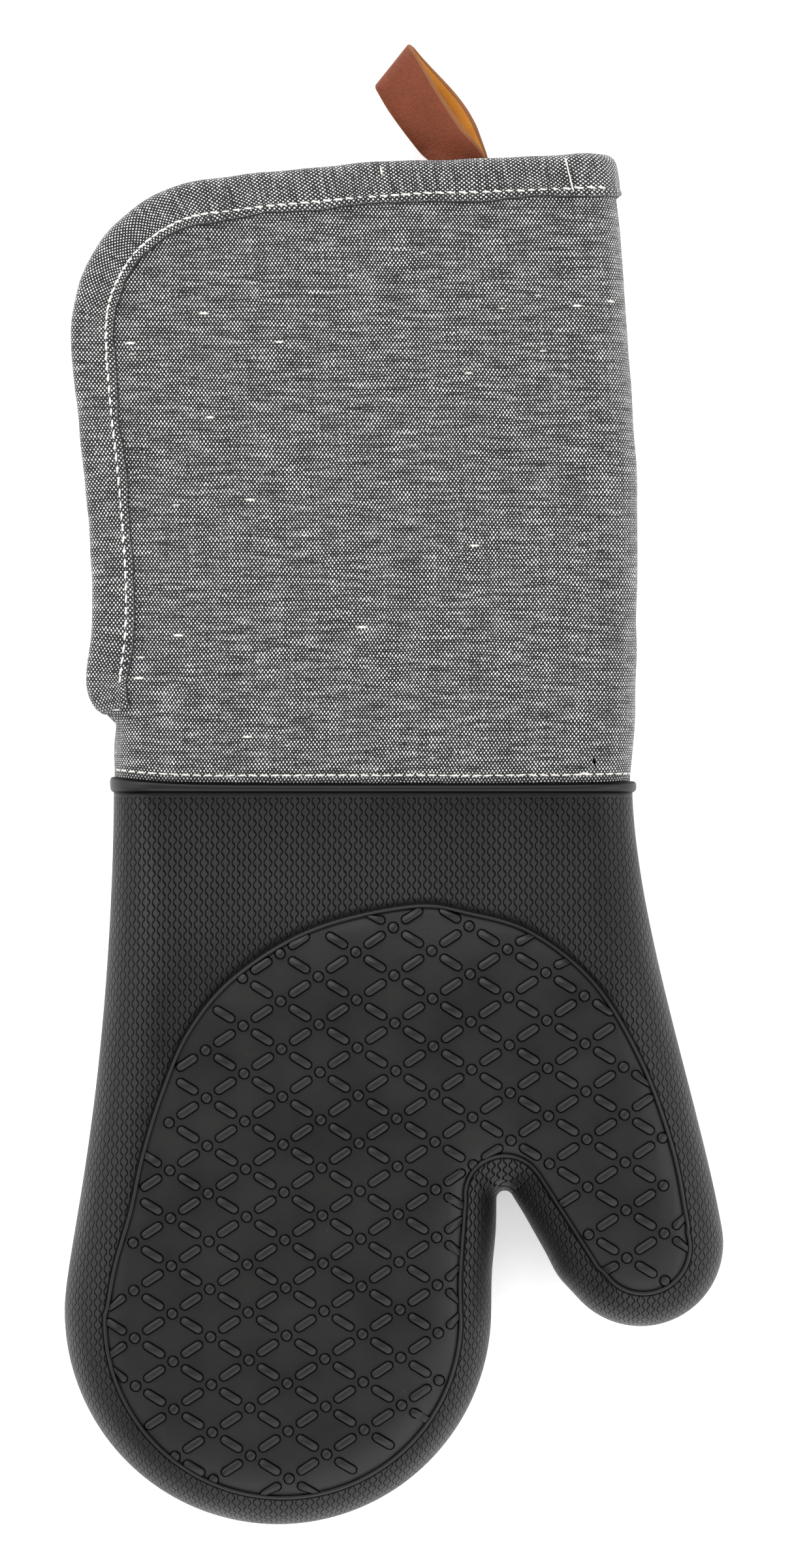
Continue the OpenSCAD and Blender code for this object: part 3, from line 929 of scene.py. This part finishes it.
    def build(self, silicone: bpy.types.Material, lining: bpy.types.Material,
              wadding: bpy.types.Material) -> None:
        """Makes the shell, its padding and its lining."""
        outline = self.outline()
        self.rim = outline[:-60]
        bm = self.skin(True)
        self.add_bead(bm)
        self.add_inner_wall(bm)
        count = self.add_studs(bm)
        LOG.info("grip field: %d studs", count)
        self.add_skin_map(bm)
        finish_piece(bm, "silicone_hand", "mitt", [silicone], ["silicone_shell"])
        for name, depth, thick, material, nodes in (
                ("hand_padding", 2.1, 2.8, wadding, ("palm_wadding", "back_wadding")),
                ("hand_lining", 5.2, 0.7, lining, ("palm_lining", "back_lining"))):
            ply = self.skin(False, depth)
            piece = finish_piece(ply, name, "mitt", [material], nodes)
            wall(piece, thick)


# ---- cuff ----


@dataclass
class Cuff:
    """The padded cuff: one woven cover folded at the thumb side, bound round its open edges and lined."""

    length: float = 166.4
    mid: float = 12.25
    fold: float = 11.0
    left: float = -75.3
    vent_foot: float = 18.4
    hem: float = 0.1
    cover: float = 3.5
    lining: float = 0.8
    binding_w: float = 10.6
    stitch_inset: float = 9.0
    vent_round: float = 10.0
    binding_pitch: float = 3.05
    hem_pitch: float = 3.0
    hem_row: float = 2.2
    tack_stitches: int = 7

    def right(self, y: np.ndarray) -> np.ndarray:
        """X of the fold's crest at y."""
        return 65.3 - 0.35 * (np.abs(y - 50) / 24) ** 1.8

    def bound_edge(self) -> np.ndarray:
        """The front's bound edge as (away, y), from the vent's foot round the corner to the fold's crest."""
        centre = (-46, 122)
        path = np.concatenate([
            through([(-81.3, 18.7), (-82, 23), (-82.2, 28.4), (-80.7, 42.4), (-80.8, 58), (-82.4, 79),
                     (-84.6, 99.8), (-86, 116)], 60),
            arc(centre, 40, 180, 98, 40),
            through([(-51.6, 161.6), (-31.9, 163.9), (-0.4, 166.7), (24.8, 167.5), (54.3, 168.7)], 60,
                    True),
        ])
        away = self.right(path[:, 1]) - self.fold - path[:, 0] + math.pi / 2 * self.fold
        crest = line((away[-1], path[-1, 1]), (0, 168.9), 20)[1:]
        flat = np.concatenate([np.stack([away, path[:, 1]], 1), crest, [(0, 168.9)]])
        return resample(flat, 140, True)

    def whole_edge(self) -> np.ndarray:
        """The bound edge from the front's vent foot over the fold to the back's."""
        half = self.bound_edge()
        return np.concatenate([half, (half[:-1] * (-1, 1))[::-1]])

    def place(self, flat: np.ndarray, depth: np.ndarray) -> np.ndarray:
        """Places points of the flat cover on the sewn cuff.

        Args:
            flat: Signed distance from the fold's crest, positive on the front, and y.
            depth: Depth below the cover's plain face.

        Returns:
            The points.
        """
        away, y = np.abs(flat[:, 0]), flat[:, 1]
        side = np.where(flat[:, 0] >= 0, 1.0, -1.0)
        quarter = math.pi / 2 * self.fold
        turn = np.minimum(away, quarter) / self.fold
        xc = self.right(y) - self.fold
        x = xc + (self.fold - depth) * np.cos(turn)
        z = (self.fold - depth) * np.sin(turn)
        straight = away > quarter
        flat_x = xc - (away - quarter)
        x = np.where(straight, flat_x, x)
        opened = np.clip((y - self.vent_foot) / self.vent_round, 0, 1)
        closed = 1 - np.sqrt(1 - (1 - opened) ** 2)
        bend = np.maximum(closed, 1e-4) / self.fold
        q = np.maximum(self.left + self.fold - flat_x, 0)
        a = bend * q
        x = np.where(straight, x + q - np.sin(a) / bend + depth * np.sin(a), x)
        z = np.where(straight, self.fold - (1 - np.cos(a)) / bend - depth * np.cos(a), z)
        climb = 1.5 * np.clip(np.abs(x) / 74, 0, 1.1) ** 7 * (1 - ease(y, 1, 13))
        return np.stack([x, y + climb, self.mid + side * z], 1)

    def swell(self, flat: np.ndarray) -> np.ndarray:
        """How far the padded cover stands over its plain face."""
        far, _ = nearest_on(flat, self.whole_edge())
        in_field = ease(far, 9, 26) * ease(flat[:, 1], 4, 24)
        soft = 0.42 * ripple(flat[:, 0], flat[:, 1], 58, 3) + 0.16 * ripple(flat[:, 0], flat[:, 1], 21, 8)
        pucker = 0.13 * ripple(flat[:, 0], flat[:, 1], 8, 5) * np.exp(-np.maximum(far - 9, 0) / 7)
        stitched = -0.45 * np.exp(-((flat[:, 1] - self.hem - self.hem_row) / 1.3) ** 2)
        hemline = -0.35 * np.exp(-np.maximum(flat[:, 1] - self.hem, 0) / 0.5)
        return (0.55 + soft) * in_field + pucker - 0.55 * (1 - ease(far, 3, 13)) + stitched + hemline

    def sheet(self, edge: float, bottom: float, step: tuple[float, float]) -> BMesh:
        """The flat cover, cut in a grid.

        Args:
            edge: How far it ends inside the bound edge.
            bottom: Where it starts along the cuff.
            step: Grid steps across and along.

        Returns:
            The flat mesh, X across from the crest, Y along.
        """
        whole = self.whole_edge()
        normal = left_normals(whole, False)
        inward = normal if normal[len(whole) // 2, 1] < 0 else -normal
        inner = whole + inward * edge
        foot = inner[0, 1]
        down = np.arange(bottom, foot - 2.6, 3.0)
        seam = np.array([self.seam_at(y) for y in down])
        rise_front = np.stack([seam, down], 1)
        rise_back = np.stack([-seam, down], 1)[::-1]
        hem_line = line((-seam[0], bottom), (seam[0], bottom), 90)[1:]
        loop = np.concatenate([rise_front, inner, rise_back, hem_line])
        bm = bmesh.new()
        ring = first_ring(bm, np.pad(loop, ((0, 0), (0, 1))))
        patch = bm.faces.new(ring)
        patch.material_index = 1
        cut_in_grid(bm, np.arange(-170, 171, step[0]) + 0.37, np.arange(bottom + 0.5, 172, step[1]))
        for face in bm.faces:
            face.material_index = 0
        return bm

    def seam_at(self, y: float) -> float:
        """Distance from the crest to the closed side's seam at y."""
        xc = float(self.right(np.array([y]))[0]) - self.fold
        return math.pi * self.fold + xc - (self.left + self.fold)

    @staticmethod
    def add_map(bm: BMesh, name: str, uv: Callable[[Vector], tuple[float, float]]) -> None:
        """Stores a layout in millimetres, taken from the flat mesh."""
        layer = bm.loops.layers.uv.new(name)
        for face in bm.faces:
            for corner in face.loops:
                corner[layer].uv = uv(corner.vert.co)

    def padded_sheet(self, outer: Callable[[np.ndarray], np.ndarray],
                     inner: Callable[[np.ndarray], np.ndarray], edge: float, bottom: float,
                     step: tuple[float, float]) -> BMesh:
        """A closed ply between two depths, each a function of the flat place."""
        bm = self.sheet(edge, bottom, step)
        self.add_map(bm, "weave", lambda co: (co.x, co.y))
        top = list(bm.faces)
        copy = bmesh.ops.duplicate(bm, geom=[*bm.verts, *bm.edges, *bm.faces])
        under = [g for g in copy["geom"] if isinstance(g, bmesh.types.BMFace)]
        rims = [e for e in bm.edges if e.is_boundary]
        for faces, depth in ((top, outer), (under, inner)):
            verts = list({v for f in faces for v in f.verts})
            flat = np.array([v.co.xy for v in verts])
            for v, place in zip(verts, self.place(flat, depth(flat))):
                v.co = place
        bmesh.ops.bridge_loops(bm, edges=rims)
        bmesh.ops.recalc_face_normals(bm, faces=bm.faces)
        return bm

    def add_cover(self, chambray: bpy.types.Material) -> None:
        """The woven cover with its padding."""
        def outer(flat: np.ndarray) -> np.ndarray:
            """Depth of the woven face."""
            return -self.swell(flat)

        def inner(flat: np.ndarray) -> np.ndarray:
            """Depth of the inner face, only the cloth's own thickness at the hem."""
            return 0.9 + (self.cover - 0.9) * ease(flat[:, 1], 6.5, 9)

        bm = self.padded_sheet(outer, inner, 1.0, self.hem, (2.6, 3.1))
        piece = finish_piece(bm, "cuff_cover_padded", "mitt", [chambray],
                             ["cuff_cover", "front_cuff_wadding", "back_cuff_wadding"])

    def add_lining(self, lining: bpy.types.Material) -> None:
        """The brushed lining inside the cuff."""
        def outer(flat: np.ndarray) -> np.ndarray:
            """Depth of the side that lies against the padding."""
            return 3.6 + 0 * flat[:, 0]

        def inner(flat: np.ndarray) -> np.ndarray:
            """Depth of the side that the arm touches."""
            return 4.4 + 0.25 * ripple(flat[:, 0], flat[:, 1], 26, 11)

        bm = self.padded_sheet(outer, inner, 1.0, -2.4, (4.0, 5.0))
        piece = finish_piece(bm, "cuff_inner_lining", "mitt", [lining], ["cuff_lining"])

    def along_edge(self, inset: float, count: int) -> tuple[np.ndarray, np.ndarray, np.ndarray]:
        """Evenly spaced points beside the whole bound edge.

        Args:
            inset: Distance inside the edge.
            count: Number of steps.

        Returns:
            The points, the directions along the edge, and the distances along it.
        """
        path = resample(self.whole_edge(), count, True)
        out = left_normals(path, False)
        middle = len(path) // 2
        inward = out if out[middle, 1] < 0 else -out
        along = np.gradient(path, axis=0)
        along /= np.linalg.norm(along, axis=1)[:, None]
        run = np.concatenate([[0], np.cumsum(np.linalg.norm(np.diff(path, axis=0), axis=1))])
        return path + inward * inset, along, run

    def binding_profile(self) -> np.ndarray:
        """The folded strip across: distance inside the edge, and depth below the cover's face."""
        w = self.binding_w
        row = self.stitch_inset
        front = [(w + 0.75, 0.42), (w + 0.3, 0.34), (w + 0.12, 0.1), (w + 0.1, -0.4), (w - 0.15, -0.8),
                 (w - 0.7, -0.98), (row + 0.35, -0.8), (row, -0.62), (row - 0.5, -0.82), (w - 3.4, -1.02),
                 (w - 5, -1.08), (3.6, -1.0), (2.2, -0.75), (1.1, -0.2), (0.4, 0.6), (0.05, 1.5)]
        back = [(0.05, 2.9), (0.4, 3.8), (1.1, 4.6), (2.2, 5.1), (3.6, 5.3), (w - 5, 5.35), (w - 3.4, 5.3),
                (row, 5.05), (w - 0.6, 5.2), (w - 0.1, 4.95), (w - 0.4, 4.5)]
        return np.array(front + back)

    def add_binding(self, chambray: bpy.types.Material) -> None:
        """The folded self-fabric strip over every open edge."""
        profile = self.binding_profile()
        steps = 420
        base, _, run = self.along_edge(0, steps)
        inward = self.along_edge(1, steps)[0] - base
        bm = bmesh.new()
        bmesh.ops.create_grid(bm, x_segments=steps, y_segments=len(profile) - 1, size=0.5)
        girth = np.concatenate([[0], np.cumsum(np.linalg.norm(np.diff(profile, axis=0), axis=1))])
        layer = bm.loops.layers.uv.new("weave")
        painted_fold_shade = bm.verts.layers.float.new("painted_fold_shade")
        cell = {v: (round((v.co.x + 0.5) * steps), round((v.co.y + 0.5) * (len(profile) - 1)))
                for v in bm.verts}
        for face in bm.faces:
            for corner in face.loops:
                i, j = cell[corner.vert]
                corner[layer].uv = (girth[j] + 300, run[i])
        rows = [cell[v] for v in bm.verts]
        i = np.array([r[0] for r in rows])
        j = np.array([r[1] for r in rows])
        e, depth = profile[j, 0], profile[j, 1].copy()
        shown = np.where(depth < 1.5, 1.0, 0.6)
        wave = ripple(run[i], e * 0.5, 9, 21)
        e = e + ease(e, 4, 10) * (0.35 * ripple(run[i], 0 * e, 34, 4)
                                  + 0.14 * ripple(run[i], 0 * e, 6.5, 14))
        depth = depth + np.where(depth < 1.5, -1, 1) * shown * (0.16 * wave * ease(e, 0.5, 4)
                                                               + 0.12 * ripple(run[i], e, 17, 6))
        e = e + (1 - ease(e, 0, 3)) * 0.25 * ripple(run[i], 0 * e, 22, 9)
        flat = base[i] + inward[i] * e[:, None]
        front = depth < 1.5
        lower = self.swell(flat)
        depth = depth - np.where(front, np.minimum(lower, 0.1) + 0.42, 0)
        for v, place, row in zip(bm.verts, self.place(flat, depth), j):
            v.co = place
            # Painted shade: the strip's first rows, tucked under its inner fold, are painted black.
            v[painted_fold_shade] = float(row < 3)
        bmesh.ops.recalc_face_normals(bm, faces=bm.faces)
        piece = finish_piece(bm, "edge_binding_strip", "mitt", [chambray], ["edge_binding"])
        wall(piece, 0.55, 0)

    def stitch_template(self, length: float, width: float) -> bpy.types.Mesh:
        """One stitch: a short thread with rounded, sunken ends, along X."""
        def build(bm: BMesh) -> None:
            """Grows the thread from one end to the other."""
            loop = None
            for share, fat, sink in ((-0.5, 0.3, -0.28), (-0.4, 0.85, -0.04), (0, 1, 0.05),
                                     (0.4, 0.85, -0.04), (0.5, 0.3, -0.28)):
                a = np.radians(np.arange(0, 360, 60))
                ring = np.stack([np.full_like(a, share * length), width / 2 * fat * np.cos(a),
                                 width * 0.42 * fat * np.sin(a) + sink], 1)
                loop = first_ring(bm, ring) if loop is None else grow_ring(bm, loop, ring)
                if share == -0.5:
                    bm.faces.new(loop[::-1])
            bm.faces.new(loop)
        return template(build)

    def stitches(self, name: str, node_name: str, points: np.ndarray, along: np.ndarray, depth: np.ndarray,
                 length: float, thread: bpy.types.Material, width: float = 0.55,
                 slant: float = 0.0) -> None:
        """Adds a row of stitches.

        Args:
            name: The piece's name.
            node_name: The CAD node it stands for.
            points: Middle of each stitch on the flat cover.
            along: Direction of each stitch there.
            depth: Depth of the cloth's face under each.
            length: Length of a stitch.
            thread: Its material.
            width: Width of the thread.
            slant: Angle that the stitches lean by.
        """
        chance = np.random.default_rng(len(name))
        moves = []
        for p, t, k in zip(points, along, depth):
            tilt = slant + chance.normal(0, 0.06)
            c, s = math.cos(tilt), math.sin(tilt)
            t = np.array([t[0] * c - t[1] * s, t[0] * s + t[1] * c])
            side = np.array([-t[1], t[0]])
            stretch = chance.uniform(0.92, 1.08)

            def move(rest: np.ndarray, p: np.ndarray = p, t: np.ndarray = t, side: np.ndarray = side,
                     k: float = k, stretch: float = stretch) -> np.ndarray:
                """Lays one stitch on the cover."""
                flat = p + rest[:, :1] * t * stretch + rest[:, 1:2] * side
                return self.place(flat, k - rest[:, 2])
            moves.append(move)
        bm = bmesh.new()
        scatter(bm, self.stitch_template(length, width), moves)
        bmesh.ops.recalc_face_normals(bm, faces=bm.faces)
        finish_piece(bm, name, "mitt", [thread], [node_name])

    def add_stitches(self, thread: bpy.types.Material) -> None:
        """Binding, hem and tack stitches."""
        total = self.along_edge(0, 10)[2][-1]
        count = int(total / self.binding_pitch)
        points, along, run = self.along_edge(self.stitch_inset, count)
        points = points + np.stack([0 * run, 0.16 * ripple(run, 0 * run, 30, 12)], 1)
        front = points[:, 0] > self.fold * 0.9
        back = points[:, 0] < -self.fold * 0.9
        keep = (run > 7) & (run < total - 7)
        for name, node_name, chosen in (("front_binding_thread", "front_binding_stitches", front & keep),
                                        ("back_binding_thread", "back_binding_stitches", back & keep)):
            depth = -np.minimum(self.swell(points[chosen]), 0.1) - 1.5
            self.stitches(name, node_name, points[chosen], along[chosen], depth, 2.35, thread, 0.6, 0.14)
        half_seam = self.seam_at(3.0)
        across = np.arange(-half_seam + 2, half_seam - 2, self.hem_pitch)
        hem = np.stack([across, self.hem + self.hem_row + 0.12 * ripple(across, 0 * across, 24, 2)], 1)
        self.stitches("hem_thread", "hem_stitches", hem, np.tile((1.0, 0.0), (len(hem), 1)),
                      -self.swell(hem) - 0.22, 2.7, thread)
        many = self.tack_stitches
        foot = np.array([(self.seam_at(20) - 6.3 + k * 0.06, self.vent_foot + 1.6 + k * 0.75)
                         for k in range(many)])
        self.stitches("vent_tack_thread", "vent_bar_tack", foot, np.tile((1.0, 0.12), (many, 1)),
                      np.full(many, -0.9), 4.2, thread, 0.5)
        top_right = self.right(np.array([165.0]))[0] - self.fold
        end = np.array([(top_right - 47.5 + math.pi / 2 * self.fold + k * 0.2, self.length - 7.2 + k * 1.25)
                        for k in range(many)])
        self.stitches("binding_end_thread", "binding_end_tack", end, np.tile((0.25, 1.0), (many, 1)),
                      np.full(many, -1.55), 1.6, thread, 0.45)

    def build(self, cover: bpy.types.Material, binding: bpy.types.Material, lining: bpy.types.Material,
              thread: bpy.types.Material) -> None:
        """Makes the whole cuff."""
        self.add_cover(cover)
        self.add_lining(lining)
        self.add_binding(binding)
        self.add_stitches(thread)


# ---- hanging loop ----


@dataclass
class HangingLoop:
    """A leather strap folded once and sewn into the cuff's edge, twisted so that its inner face shows."""

    width: float = 15.0
    thick: float = 1.9
    level: float = 15.0
    nose: float = 2.0
    bow: float = 5.6
    root_x: float = 18.0
    seam_y: float = 164.6
    # Along the strap's length as shares of it: how far it is turned towards -X, and rolled, in degrees.
    stations: tuple = (0, 0.1, 0.21, 0.37, 0.71, 1)
    yaw: tuple = (0, 2, 7.5, 23, 31, 50.5)
    roll: tuple = (0, 4, 14, 31, 25, 13)

    def frame_at(self, a: np.ndarray, path: np.ndarray) -> tuple[np.ndarray, np.ndarray, np.ndarray]:
        """Middle, width direction and upright of the doubled strap at distances along it."""
        step = np.concatenate([[0], np.cumsum(np.linalg.norm(np.diff(path, axis=0), axis=1))])
        x = np.interp(a, step, path[:, 0])
        y = np.interp(a, step, path[:, 1])
        over = np.maximum(a - step[-1], 0)
        end = path[-1] - path[-2]
        end /= np.linalg.norm(end)
        middle = np.stack([x + over * end[0], y + over * end[1], np.full_like(a, self.level)], 1)
        share = a / step[-1]
        yaw = np.radians(np.interp(share, self.stations, self.yaw))
        roll = np.radians(np.interp(share, self.stations, self.roll))
        flat = np.stack([np.cos(yaw), np.sin(yaw), 0 * yaw], 1)
        wide = flat * np.cos(roll)[:, None] + np.array((0, 0, 1)) * np.sin(roll)[:, None]
        up = -flat * np.sin(roll)[:, None] + np.array((0, 0, 1)) * np.cos(roll)[:, None]
        return middle, wide, up

    def build(self, faces: Sequence[bpy.types.Material], thread: bpy.types.Material) -> None:
        """Makes the strap and the stitches that hold it."""
        path = through([(18.6, 160.5), (18.4, 164.5), (17.3, 168.4), (13.6, 173.5), (6.2, 184),
                        (0.2, 192.8)], 60, True)
        total = np.linalg.norm(np.diff(path, axis=0), axis=1).sum()
        legs = np.linspace(0, total - self.nose, 40)
        share = legs / legs[-1]
        close = self.thick / 2 + 0.08
        bow = np.sin(math.pi * np.clip((share - 0.12) / 0.88, 0, 1)) ** 1.3
        front = close + (self.nose - close) * ease(share, 0.2, 1) + 0.7 * bow
        back = close + (self.nose - close) * ease(share, 0.2, 1) + self.bow * bow
        round_a = np.radians(np.linspace(90, -90, 15)[1:-1])
        a = np.concatenate([legs, legs[-1] + self.nose * np.cos(round_a), legs[::-1]])
        h = np.concatenate([front, self.nose * np.sin(round_a), -back[::-1]])
        middle, wide, up = self.frame_at(a, path)
        spine = middle + up * h[:, None]
        forward = np.gradient(spine, axis=0)
        forward /= np.linalg.norm(forward, axis=1)[:, None]
        out = np.cross(wide, forward)
        out /= np.linalg.norm(out, axis=1)[:, None]
        w, t = self.width / 2, self.thick / 2
        section = [(-w + 0.5, t), (-w / 2, t), (0, t), (w / 2, t), (w - 0.5, t), (w - 0.12, t - 0.3),
                   (w, 0), (w - 0.12, -t + 0.3), (w - 0.5, -t), (w / 2, -t), (0, -t), (-w / 2, -t),
                   (-w + 0.5, -t), (-w + 0.12, -t + 0.3), (-w, 0), (-w + 0.12, t - 0.3)]
        edge_faces = {4, 5, 6, 7, 12, 13, 14, 15}
        flesh_side = {8, 9, 10, 11} if out[0, 2] > 0 else {0, 1, 2, 3}
        bm = bmesh.new()
        loop = None
        for k in range(len(a)):
            ring = np.array([spine[k] + wide[k] * u + out[k] * v for u, v in section])
            if loop is None:
                loop = first_ring(bm, ring)
                bm.faces.new(loop).material_index = 2
                continue
            grown = grow_ring(bm, loop, ring)
            for m in range(len(section)):
                face = next(f for f in loop[m].link_faces
                            if loop[(m + 1) % len(section)] in f.verts and grown[m] in f.verts)
                face.material_index = 2 if m in edge_faces else 1 if m in flesh_side else 0
            loop = grown
        bm.faces.new(loop).material_index = 2
        bmesh.ops.recalc_face_normals(bm, faces=bm.faces)
        strap = finish_piece(bm, "leather_strap", None, faces, ["strap_ends", "hanging_loop"])
        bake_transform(strap)
        bm = bmesh.new()
        moves = []
        for x in (-5.4, -2.7, 0, 2.7, 5.4):
            moves.append(lambda rest, x=x: np.stack([self.root_x + x + rest[:, 0], self.seam_y + rest[:, 1],
                                                      self.level - 2 * t - 0.15 - rest[:, 2]], 1))
        scatter(bm, Cuff().stitch_template(2.4, 0.55), moves)
        bmesh.ops.recalc_face_normals(bm, faces=bm.faces)
        finish_piece(bm, "strap_thread", "mitt", [thread], ["strap_stitches"])


# ---- studio ----


@dataclass
class Studio:
    """A pale table that glows a little, under four large soft lights, seen from straight above."""

    camera_height: float = 1.8
    frame_height: float = 0.42
    level: float = 0.022
    floor_z: float = -0.0007
    floor_glow: float = 0.35
    world_light: float = 0.34
    softbox: float = 1.8

    def add_camera(self) -> None:
        """The camera, level over the mitt."""
        lens = bpy.data.cameras.new("camera")
        lens.sensor_fit = "VERTICAL"
        lens.sensor_height = 36
        lens.lens = 36 * (self.camera_height - self.level) / self.frame_height
        lens.clip_end = 20
        camera = bpy.data.objects.new("camera", lens)
        camera.location = (0.0007, 0, self.camera_height)
        bpy.context.scene.collection.objects.link(camera)
        bpy.context.scene.camera = camera

    def add_light(self, name: str, place: Sequence[float], size: float, power: float) -> None:
        """A square softbox aimed at the mitt."""
        data = bpy.data.lights.new(name, "AREA")
        data.shape = "SQUARE"
        data.size = size
        data.energy = power
        lamp = bpy.data.objects.new(name, data)
        lamp.location = place
        lamp.rotation_euler = (Vector((0, 0, 0.02)) - Vector(place)).to_track_quat("-Z", "Y").to_euler()
        bpy.context.scene.collection.objects.link(lamp)

    def build(self) -> None:
        """Floor, lights and camera."""
        self.add_camera()
        bm = bmesh.new()
        bmesh.ops.create_grid(bm, x_segments=8, y_segments=8, size=3)
        bmesh.ops.translate(bm, verts=bm.verts, vec=(0, 0, self.floor_z))
        mesh = bpy.data.meshes.new("table")
        bm.to_mesh(mesh)
        bm.free()
        floor = bpy.data.objects.new("table", mesh)
        bpy.context.scene.collection.objects.link(floor)
        material, tree = start_material("white_paper")
        place = node(tree, "TexCoord").outputs["Object"]
        grain = node(tree, "TexNoise", Vector=place, Scale=300.0).outputs[0]
        tone = blend_colour(tree, grain, linear("#fbfbfb"), linear("#ffffff"))
        paper = node(tree, "BsdfPrincipled", Base_Color=tone, Roughness=0.9, Emission_Color=tone,
                     Emission_Strength=self.floor_glow)
        node(tree, "OutputMaterial", Surface=paper.outputs[0])
        mesh.materials.append(material)
        for name, place, power in (("key", (-0.5, 1.4, 1.0), 34), ("fill", (1.4, -0.2, 1.0), 22),
                                   ("front", (0.2, -1.4, 1.0), 20), ("side", (-1.4, 0.1, 1.0), 16)):
            self.add_light(name, place, self.softbox, power)
        world = bpy.data.worlds.new("studio")
        world.use_nodes = True
        world.node_tree.nodes["Background"].inputs[0].default_value = (1, 1, 1, 1)
        world.node_tree.nodes["Background"].inputs[1].default_value = self.world_light
        bpy.context.scene.world = world
        bpy.context.scene.view_settings.view_transform = "Standard"


def main() -> None:
    """Builds the mitt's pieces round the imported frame."""
    logging.basicConfig(level=logging.INFO, format="%(message)s")
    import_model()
    Studio().build()
    silicone = MouldedSilicone().build()
    cover = WovenChambray("chambray_cover").build()
    strip = WovenChambray("chambray_binding").build()
    lining = PlainCloth("brushed_cotton_lining", "#4d4c4a", "#2c2b2a", 0.6).build()
    wadding = PlainCloth("polyester_wadding", "#e2ded6", "#b9b3a8", 1.2, 0.4).build()
    thread = PlainCloth("spun_polyester_thread", "#f5f3ee", "#c9c5bd", 0.25, 0.08, True).build()
    faces = [Leather(face).build() for face in LeatherFace]
    SiliconeHand().build(silicone, lining, wadding)
    Cuff().build(cover, strip, lining, thread)
    HangingLoop().build(faces, thread)


if __name__ == "__main__":
    main()
